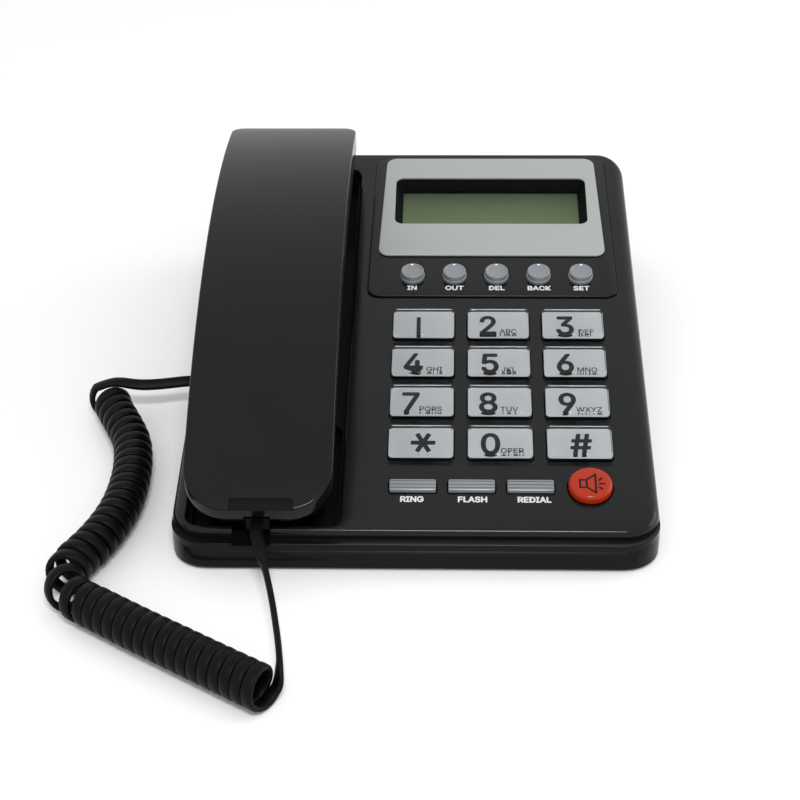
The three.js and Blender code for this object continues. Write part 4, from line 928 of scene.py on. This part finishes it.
def build_case_top():
    shell = wedge("case_top", 0.0, SHELL_FOOT)
    ends = ((-BASE_WIDTH / 2, BASE_WIDTH / 2), (BASE_FRONT, BASE_REAR - APRON_SETBACK))
    apron = rectangle("apron", ends, SHELL_FOOT, CASE_CORNER, CORNER_STEPS)
    raise_profile(apron, [(APRON_RISE - SLIVER, 0), (SLIVER, -SLIVER)])
    boolean(shell, apron, "UNION")
    boolean(shell, wedge("hollow", CASE_WALL, SHELL_FOOT - OVERRUN))
    for size in (TROUGH, FRONT_WELL, REAR_WELL):
        rise = size["depth"] + REST_WALL + size["wall_top"]
        boolean(shell, rest_tool("rest_walls", size, REST_WALL, [(rise, 0)]), "UNION")
    steps = [(TROUGH["depth"] - REST_FILLET, 0), *quarter(REST_FILLET, 5, inward=False), (REST_REACH, 0)]
    boolean(shell, rest_tool("trough", TROUGH, 0, steps))
    for size in (FRONT_WELL, REAR_WELL):
        boolean(shell, rest_tool("well", size, 0, [(size["depth"] + WELL_TOP, 0)]))
    boolean(shell, face_tool("notch", HANDSET_X - NOTCH["offset"], NOTCH))
    boolean(shell, button_holes())
    pocket = tapered_outline("pocket", PANEL, PANEL_GROOVE, -PANEL_SINK)
    boolean(shell, on_face(raise_profile(pocket, [(PANEL_SINK + OVERRUN, 0)])))
    boolean(shell, face_tool("panel_opening", PANEL_X, PANEL_OPENING))
    boolean(shell, face_tool("plunger_hole", HANDSET_X, PLUNGER_HOLE))
    for name, (x_ends, y_ends, z_ends) in (("cord_window", CORD_WINDOW), ("line_window", LINE_WINDOW)):
        boolean(shell, block(name, (x_ends, y_ends), z_ends, WINDOW_EDGE, 1))
    smooth(shell, 30)
    finish_piece(shell, "base", black_gloss, "black_gloss", "base_top_shell")
    # Painted shade: the faces deep in the handset's trough get the near black shadow_black
    margin = REST_PAINT_MARGIN
    paint_faces(shell, shadow_black, lambda co: (
        TROUGH["front"] - margin < co.y < TROUGH["rear"] + margin
        and abs(co.x - REST_X) < TROUGH["width"] / 2 + margin and co.z < -REST_FILLET
    ))
    ledge_y, ledge_z = LIP_FRONT + LEDGE_MARGIN, SHELL_FOOT + APRON_RISE + SLIVER
    paint_faces(shell, tray_gloss, lambda co: (FACE @ co).z < ledge_z and (FACE @ co).y < ledge_y)


# Display panel
def tapered_outline(name, size, grow, z):
    """A rounded rectangle about the panel's middle line that narrows towards its rear."""
    half = size["front_width"] / 2 + grow
    front, rear = size["front"] - grow, size["rear"] + grow
    piece = rectangle(name, ((PANEL_X - half, PANEL_X + half), (front, rear)), z, size["corner"] + grow, 10)
    narrowing = (size["front_width"] - size["rear_width"]) / 2 / (rear - front)
    for vertex in piece.data.vertices:
        vertex.co.x -= math.copysign((vertex.co.y - front) * narrowing, vertex.co.x - PANEL_X)
    return piece


def window_tool():
    """The window's sloping frame as a cutting body."""
    inset = WINDOW_SLOPE_IN
    slope_from = LENS_TOP + CLEARANCE
    ends = about(*WINDOW_MIDDLE, WINDOW_SIZE, -inset)
    piece = rectangle("window", ends, LENS_TOP - OVERRUN, WINDOW_FOOT_CORNER)
    raise_profile(piece, [(OVERRUN + CLEARANCE, 0), (PANEL_PROUD - slope_from, inset), (OVERRUN, 0)])
    rear = ends[1][1] - WINDOW_FOOT_CORNER - NEAR
    for vertex in piece.data.vertices:
        if vertex.co.z < slope_from + NEAR and vertex.co.y > rear:
            vertex.co.y += WINDOW_REAR_SHIFT
    return piece


def build_display_panel():
    panel = tapered_outline("display_frame", PANEL, 0, -PANEL_SINK + CLEARANCE)
    rise = PANEL_SINK - CLEARANCE + PANEL_PROUD - PANEL_EDGE
    raise_profile(panel, [(rise, 0)] + quarter(PANEL_EDGE, 4))
    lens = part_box("display_lens")
    lens_size = (lens[1][0] - lens[0][0], WINDOW_SIZE[1] - 2 * WINDOW_SLOPE_IN + LENS_MARGIN)
    wall = about(*WINDOW_MIDDLE, lens_size, CLEARANCE + REST_WALL)
    boolean(panel, block("nest_wall", wall, (NEST_BOTTOM, 0), NEST_WALL_CORNER, 3), "UNION")
    nest = about(*WINDOW_MIDDLE, lens_size, CLEARANCE)
    reach = (NEST_BOTTOM - OVERRUN, LENS_TOP + CLEARANCE)
    boolean(panel, block("nest", nest, reach, NEST_CORNER, 2))
    boolean(panel, window_tool())
    hole = disc("round_hole", 0, 0, HOLE_REACH[0], ROUND_RADIUS + CLEARANCE)
    raise_profile(hole, [(HOLE_REACH[1] - HOLE_REACH[0], 0)])
    boolean(panel, joined(copies(hole, [("round_hole", x, ROUND_Y) for x in ROUND_PLACES])))
    smooth(on_face(panel), 30)
    finish_piece(panel, "base", black_gloss, "black_gloss", "display_panel")
    # Painted shade: the window's walls below the panel's top get the near black shadow_black
    (x0, x1), (y0, y1) = about(*WINDOW_MIDDLE, WINDOW_SIZE)
    paint_faces(panel, shadow_black, lambda co: (
        co.z < PANEL_PROUD - SLIVER and x0 < co.x < x1 and y0 < co.y < y1
    ))


def build_faceplate():
    plate = tapered_outline("silver_faceplate", PLATE, 0, PLATE_BOTTOM)
    raise_profile(plate, [(PLATE_THICKNESS - PLATE_EDGE, 0)] + quarter(PLATE_EDGE, 3))
    reach = (PANEL_PROUD, PANEL_PROUD + 2 * OVERRUN)
    boolean(plate, block("plate_window", about(*WINDOW_MIDDLE, WINDOW_SIZE), reach, WINDOW_CORNER, 8))
    smooth(on_face(plate), 30)
    finish_piece(plate, "base", silver_plate, "silver_plate", "faceplate")


# Handset
def handset_back_level(y):
    return HANDSET_CROWN - HANDSET_ARC + math.sqrt(HANDSET_ARC ** 2 - (y - HANDSET_CROWN_Y) ** 2)


def handset_split_level(y):
    endness = ((y - HANDSET_CROWN_Y) / (HANDSET_REAR - HANDSET_CROWN_Y)) ** 2
    depth = HANDSET_BACK_DEPTH + (HANDSET_END_DEPTH - HANDSET_BACK_DEPTH) * endness
    return handset_back_level(y) - depth


def handset_lump(name, inset, below, edge):
    """The handset's back as a body: a rounded strip bent over the back's arc."""
    half = HANDSET_WIDTH / 2 - inset
    ends = ((-half, half), (HANDSET_FRONT + inset, HANDSET_REAR - inset))
    corners = (HANDSET_FRONT_CORNER - inset, HANDSET_REAR_CORNER - inset)
    piece = raise_profile(rectangle(name, ends, 0, corners, CORNER_STEPS), [(UNSHAPED, 0)])
    edit(piece)
    for i in range(1, HANDSET_SLICES):
        y = HANDSET_FRONT + (HANDSET_REAR - HANDSET_FRONT) * i / HANDSET_SLICES
        bpy.ops.mesh.select_all(action="SELECT")
        bpy.ops.mesh.bisect(plane_co=(0, y, 0), plane_no=(0, 1, 0))
    done(piece)
    for vertex in piece.data.vertices:
        y = vertex.co.y
        low = handset_split_level(y) - below
        high = handset_back_level(y) - inset
        vertex.co.z = low if vertex.co.z < UNSHAPED / 2 else high
    return bevelled(piece, edge, 6, "ANGLE", 50)


def build_handset_back():
    shell = handset_lump("handset_back", 0, -HANDSET_SPLIT_GAP, HANDSET_EDGE)
    boolean(shell, handset_lump("handset_hollow", HANDSET_WALL, OVERRUN / 2, HANDSET_HOLLOW_EDGE))
    half, half_height = PLUG_WINDOW["width"] / 2, PLUG_WINDOW["height"] / 2
    ends = ((-half, half), [HANDSET_FRONT + y for y in PLUG_WINDOW["y"]])
    reach = (PLUG_LIFT - half_height, PLUG_LIFT + half_height)
    boolean(shell, block("plug_window", ends, reach, WINDOW_EDGE, 1))
    slope = math.asin((HANDSET_CROWN_Y - HANDSET_FRONT) / HANDSET_ARC)
    scoop = block("scoop", (SCOOP["x"], SCOOP["y"]), SCOOP["z"], SCOOP["corner"], 4)
    rim = (0, HANDSET_FRONT, handset_back_level(HANDSET_FRONT))
    scoop.data.transform(Matrix.Translation(rim) @ Matrix.Rotation(slope, 4, "X"))
    boolean(shell, scoop)
    shell.data.transform(Matrix.Translation((HANDSET_X, 0, 0)))
    smooth(on_face(shell), 30)
    finish_piece(shell, "handset", handset_gloss, "black_gloss", "handset_back_shell")
    # Painted shade: the faces inside the scoop at the handset's front get the near black shadow_black
    x0, x1 = [HANDSET_X + x for x in SCOOP["x"]]
    shallow, deep = SCOOP_PAINT
    paint_faces(shell, shadow_black, lambda co: (
        x0 - WINDOW_EDGE < co.x < x1 + WINDOW_EDGE and co.y < SCOOP["y"][1] - CLEARANCE
        and shallow < handset_back_level(co.y) - co.z < deep
    ))


def smooth_copy(node, name, body, material, degrees=35):
    """A merged, smoothly shaded copy of a CAD node stands for it."""
    piece = copied(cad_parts[node], name)
    piece.parent = None
    piece.matrix_world = Matrix.Identity(4)
    edit(piece)
    bpy.ops.mesh.remove_doubles(threshold=CAD_SAME)
    smooth(done(piece), degrees)
    finish_piece(piece, body, material, "black_gloss", node)


# Keys and buttons
SANS = bpy.data.fonts.load(os.path.join(bpy.utils.system_resource("DATAFILES"), "fonts", "Inter.woff2"))


def legend(name, words, place, style, material, body):
    """Printed words as a thin mesh, centred at a place; copies set round them make them bold."""
    size, bold, stretch = style
    deselect()
    bpy.ops.object.text_add(location=(0, 0, 0))
    text = bpy.context.object
    text.data.body = words
    text.data.font = SANS
    text.data.align_x = "CENTER"
    text.data.align_y = "CENTER"
    text.data.size = size
    text.data.extrude = INK_DEPTH
    text.data.resolution_u = 3
    only(text)
    bpy.ops.object.convert(target="MESH")
    piece = bpy.context.object
    piece.data.transform(Matrix.Translation(place) @ Matrix.Diagonal((stretch, 1, 1, 1)))
    strokes = [piece]
    for i in range(8):
        turn = i * math.pi / 4
        shift = (bold * math.cos(turn), bold * math.sin(turn), (i + 1) * SAME)
        strokes.append(copied(piece, "stroke", shift))
    piece = joined(strokes)
    piece.name = name
    finish_piece(on_face(piece), body, material, "key_plastic")


def flange_steps(rim):
    """Steps that raise a button's flange, which lies under the edge of its hole."""
    return [(SLIVER, rim), (FLANGE_TOP - FLANGE_BOTTOM - SLIVER, 0), (FLANGE_STEP, -rim)]


def finish_button(piece, node, material, slot):
    """Finishes a button and paints shade, the near black shadow_black, on what lies in its hole below the
    face.
    """
    finish_piece(on_face(piece), node, material, slot, node)
    paint_faces(piece, shadow_black, lambda co: co.z < -SHADOW_DEPTH)


def finish_mark(name, bars, node, slot):
    """Joins level bars into one printed mark."""
    mark = joined(bars)
    mark.name = name
    finish_piece(on_face(mark), node, black_ink, slot)


def print_one(node, x, y, top):
    bar = block("bar", ONE_STROKE, (top, top + STROKE_RISE), SLIVER, 1)
    bar.data.transform(Matrix.Translation((x, y, 0)))
    finish_mark(f"{node}_digit", [bar], node, "key_plastic")


def print_star(node, x, y, top):
    arms = []
    for turn in (0, 60, 120):
        arm = block("arm", about(0, 0, STAR_ARM), (top, top + STROKE_RISE + turn * SAME), SLIVER, 1)
        arm.data.transform(
            Matrix.Translation((x, y, 0)) @ Matrix.Diagonal((1, STAR_STRETCH, 1, 1))
            @ Matrix.Rotation(math.radians(turn), 4, "Z")
        )
        arms.append(arm)
    finish_mark(f"{node}_digit", arms, node, "key_plastic")


def build_keys():
    core = rectangle("core", about(0, 0, KEY_SIZE, -CORE_INSET), FLANGE_BOTTOM, CORE_CORNER, 4)
    rim = KEY_FLANGE + CLEARANCE + CORE_INSET
    raise_profile(core, flange_steps(rim) + [(KEY_CORE - FLANGE_TOP - FLANGE_STEP, 0)])
    foot = KEY_CORE - CAP_OVERLAP
    cap = rectangle("cap", about(0, 0, KEY_SIZE), foot, KEY_CORNER, 5)
    raise_profile(cap, [(KEY_HEIGHT - foot - KEY_EDGE, 0)] + quarter(KEY_EDGE, 4))
    for piece in (core, cap):
        smooth(piece, 30)
    top = KEY_CORE + INK_LIFT
    for (x, y), (node, digit, digit_x, letters, letters_x) in zip(KEY_PLACES, KEYS):
        finish_button(copied(core, f"{node}_core", (x, y, 0)), node, key_silver, "key_plastic")
        finish_piece(on_face(copied(cap, f"{node}_cap", (x, y, 0))), node, key_clear, "key_plastic")
        if letters:
            place = (x + letters_x, y - LETTERS_DROP, top)
            legend(f"{node}_letters", letters, place, LETTERS_STYLE, black_ink, node)
        if digit == "1":
            print_one(node, x, y, top)
        elif digit == "*":
            print_star(node, x + digit_x, y - STAR_DROP, top)
        else:
            legend(f"{node}_digit", digit, (x + digit_x, y - DIGIT_DROP, top), DIGIT_STYLE, black_ink, node)
    for piece in (core, cap):
        bpy.data.objects.remove(piece, do_unlink=True)


def build_round_buttons():
    rim = CLEARANCE + KEY_FLANGE
    button = disc("round_cap", 0, 0, FLANGE_BOTTOM, ROUND_RADIUS + rim)
    waist = PANEL_PROUD + ROUND_HEIGHT * ROUND_WAIST_SHARE
    above = PANEL_PROUD + ROUND_HEIGHT - waist
    raise_profile(button, [
        (-PANEL_SINK - FLANGE_BOTTOM, 0), (FLANGE_STEP, -rim),
        (waist - ROUND_BEVEL + PANEL_SINK - FLANGE_STEP, 0), (ROUND_BEVEL, -ROUND_GROOVE),
        (ROUND_GROOVE, 0), (ROUND_BEVEL, 0), (above - ROUND_EDGE - ROUND_GROOVE - ROUND_BEVEL, 0),
        *quarter(ROUND_EDGE, 4), *ROUND_DISH,
    ])
    smooth(button, 28)
    places = [(f"{node}_cap", x, ROUND_Y) for node, x in zip(ROUND_WORDS, ROUND_PLACES)]
    for cap, x, (node, words) in zip(copies(button, places), ROUND_PLACES, ROUND_WORDS.items()):
        finish_piece(on_face(cap), node, silver_button, "silver_plastic", node)
        place = (x, ROUND_LABEL_Y, PANEL_PROUD + INK_LIFT)
        legend(f"{node}_label", words, place, ROUND_LABEL_STYLE, white_ink, "base")


def build_bar_buttons():
    bar = rectangle("bar_cap", about(0, 0, BAR_SIZE), FLANGE_BOTTOM, BAR_CORNER, 4)
    raise_profile(bar, [
        *flange_steps(KEY_FLANGE + CLEARANCE), (-FLANGE_TOP, 0), (BAR_HEIGHT - BAR_EDGE - FLANGE_STEP, 0),
        *quarter(BAR_EDGE, 3),
    ])
    groove_size = (BAR_SIZE[0] + OVERRUN, GROOVE_WIDTH)
    reach = (BAR_HEIGHT - GROOVE_DEPTH, BAR_HEIGHT + OVERRUN)
    for step in (-1, 0, 1):
        boolean(bar, block("groove", about(0, step * GROOVE_PITCH, groove_size), reach, NEAR, 1))
    smooth(bar, 30)
    places = [(f"{node}_cap", x, BAR_Y) for node, x in zip(BAR_WORDS, BAR_PLACES)]
    for cap, x, (node, (words, shift)) in zip(copies(bar, places), BAR_PLACES, BAR_WORDS.items()):
        finish_button(cap, node, silver_button, "silver_plastic")
        place = (x + shift, BAR_LABEL_Y, INK_LIFT)
        legend(f"{node}_label", words, place, BAR_LABEL_STYLE, white_ink, "base")


def build_speaker_button():
    node = "loudspeaker_button"
    x, y = SPEAKER_PLACE
    rim = CLEARANCE + KEY_FLANGE
    button = disc("loudspeaker_cap", x, y, FLANGE_BOTTOM, SPEAKER_RADIUS + rim, SPEAKER_SIDES)
    raise_profile(button, [
        (FLANGE_TOP - FLANGE_BOTTOM, 0), (FLANGE_STEP, -rim), (-FLANGE_TOP, 0),
        (SPEAKER_HEIGHT - SPEAKER_EDGE - FLANGE_STEP, 0), *quarter(SPEAKER_EDGE, 5),
    ])
    finish_button(smooth(button, 24), node, red_button, "red_plastic")
    outlines = [PICTOGRAM_BOX, PICTOGRAM_HORN]
    strokes = [ends for outline in outlines for ends in zip(outline, outline[1:] + outline[:1])]
    half = PICTOGRAM_STROKE / 2
    top = SPEAKER_HEIGHT + PICTOGRAM_LIFT
    marks = []
    for i, (a, b) in enumerate(strokes + PICTOGRAM_WAVES):
        way = Vector(b) - Vector(a)
        ends = ((-half, way.length + half), (-half, half))
        stroke = block("stroke", ends, (top, top + INK_DEPTH + i * SAME), SLIVER / 2, 1)
        turn = Matrix.Rotation(math.atan2(way.y, way.x), 4, "Z")
        stroke.data.transform(Matrix.Translation((x + a[0], y - PICTOGRAM_DROP + a[1], 0)) @ turn)
        marks.append(stroke)
    finish_mark("loudspeaker_pictogram", marks, node, "red_plastic")


build_case_top()
smooth_copy("base_bottom_shell", "case_tray", "base", tray_gloss)
build_display_panel()
build_faceplate()
build_handset_back()
smooth_copy("handset_front_shell", "handset_front", "handset", handset_gloss, 40)
build_keys()
build_round_buttons()
build_bar_buttons()
build_speaker_button()

# Pieces whose CAD shape stays
CORNERS = [f"{end}_{side}" for end in ("front", "rear") for side in ("left", "right")]
CARRIED = [
    (black_matt, ["hook_plunger", "battery_door"]), (silicone, ["switch_membrane"]),
    (board_green, ["main_board"]), (cone_black, ["loudspeaker"]),
    (ballast_iron, ["ballast_weight", "handset_weight"]), (plug_plastic, ["base_plug", "handset_plug"]),
    (connector_plastic, [
        "handsfree_microphone", "hook_switch", "handset_cord_socket", "handset_socket", "line_socket",
        "receiver_capsule",
    ]),
    (lens_clear, ["display_lens"]), (display_green, ["display_module"]),
    (cell_jacket, ["battery_1", "battery_2", "battery_3"]),
    (steel, ["transmitter_capsule", "handset_screw"] + [f"base_screw_{corner}" for corner in CORNERS]),
    (foot_rubber, [f"foot_{corner}" for corner in CORNERS]),
]
for material, nodes in CARRIED:
    for node in nodes:
        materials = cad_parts[node].data.materials
        materials.clear()
        materials.append(material)


# Floor, backdrop and light
def add_floor():
    deselect()
    bpy.ops.mesh.primitive_plane_add(size=6, location=(0, 0, 0))
    floor = bpy.context.object
    floor.name = "floor"
    finish = Finish("floor_white")
    cloud = finish.noise(3.0, 2.0)
    shade = finish.blend(cloud, (0.97, 0.97, 0.97, 1), (0.985, 0.985, 0.985, 1))
    finish.surface(Base_Color=shade, Roughness=0.9)
    floor.data.materials.append(finish.material)


def add_world():
    world = bpy.data.worlds.new("studio")
    bpy.context.scene.world = world
    world.use_nodes = True
    nodes, links = world.node_tree.nodes, world.node_tree.links
    background = nodes["Background"]
    rays = nodes.new("ShaderNodeLightPath")
    seen = rays.outputs["Is Camera Ray"]
    for kind in ("Is Glossy Ray", "Is Transmission Ray"):
        total = nodes.new("ShaderNodeMath")
        total.operation = "MAXIMUM"
        links.new(seen, total.inputs[0])
        links.new(rays.outputs[kind], total.inputs[1])
        seen = total.outputs[0]
    mix = nodes.new("ShaderNodeMix")
    mix.data_type = "FLOAT"
    links.new(seen, mix.inputs[0])
    mix.inputs[2].default_value = WORLD_LIGHT
    mix.inputs[3].default_value = WORLD_SEEN
    links.new(mix.outputs[0], background.inputs["Strength"])
    background.inputs["Color"].default_value = (1, 1, 1, 1)


def add_lamp(name, place, target, size, power):
    data = bpy.data.lights.new(name, "AREA")
    data.shape = "RECTANGLE"
    data.size, data.size_y = size
    data.energy = power
    lamp = bpy.data.objects.new(name, data)
    bpy.context.scene.collection.objects.link(lamp)
    lamp.location = place
    lamp.rotation_euler = (Vector(target) - Vector(place)).to_track_quat("-Z", "Y").to_euler()


add_floor()
add_world()
for name, settings in LAMPS.items():
    add_lamp(name, *settings)

bpy.context.scene.view_settings.view_transform = "Standard"
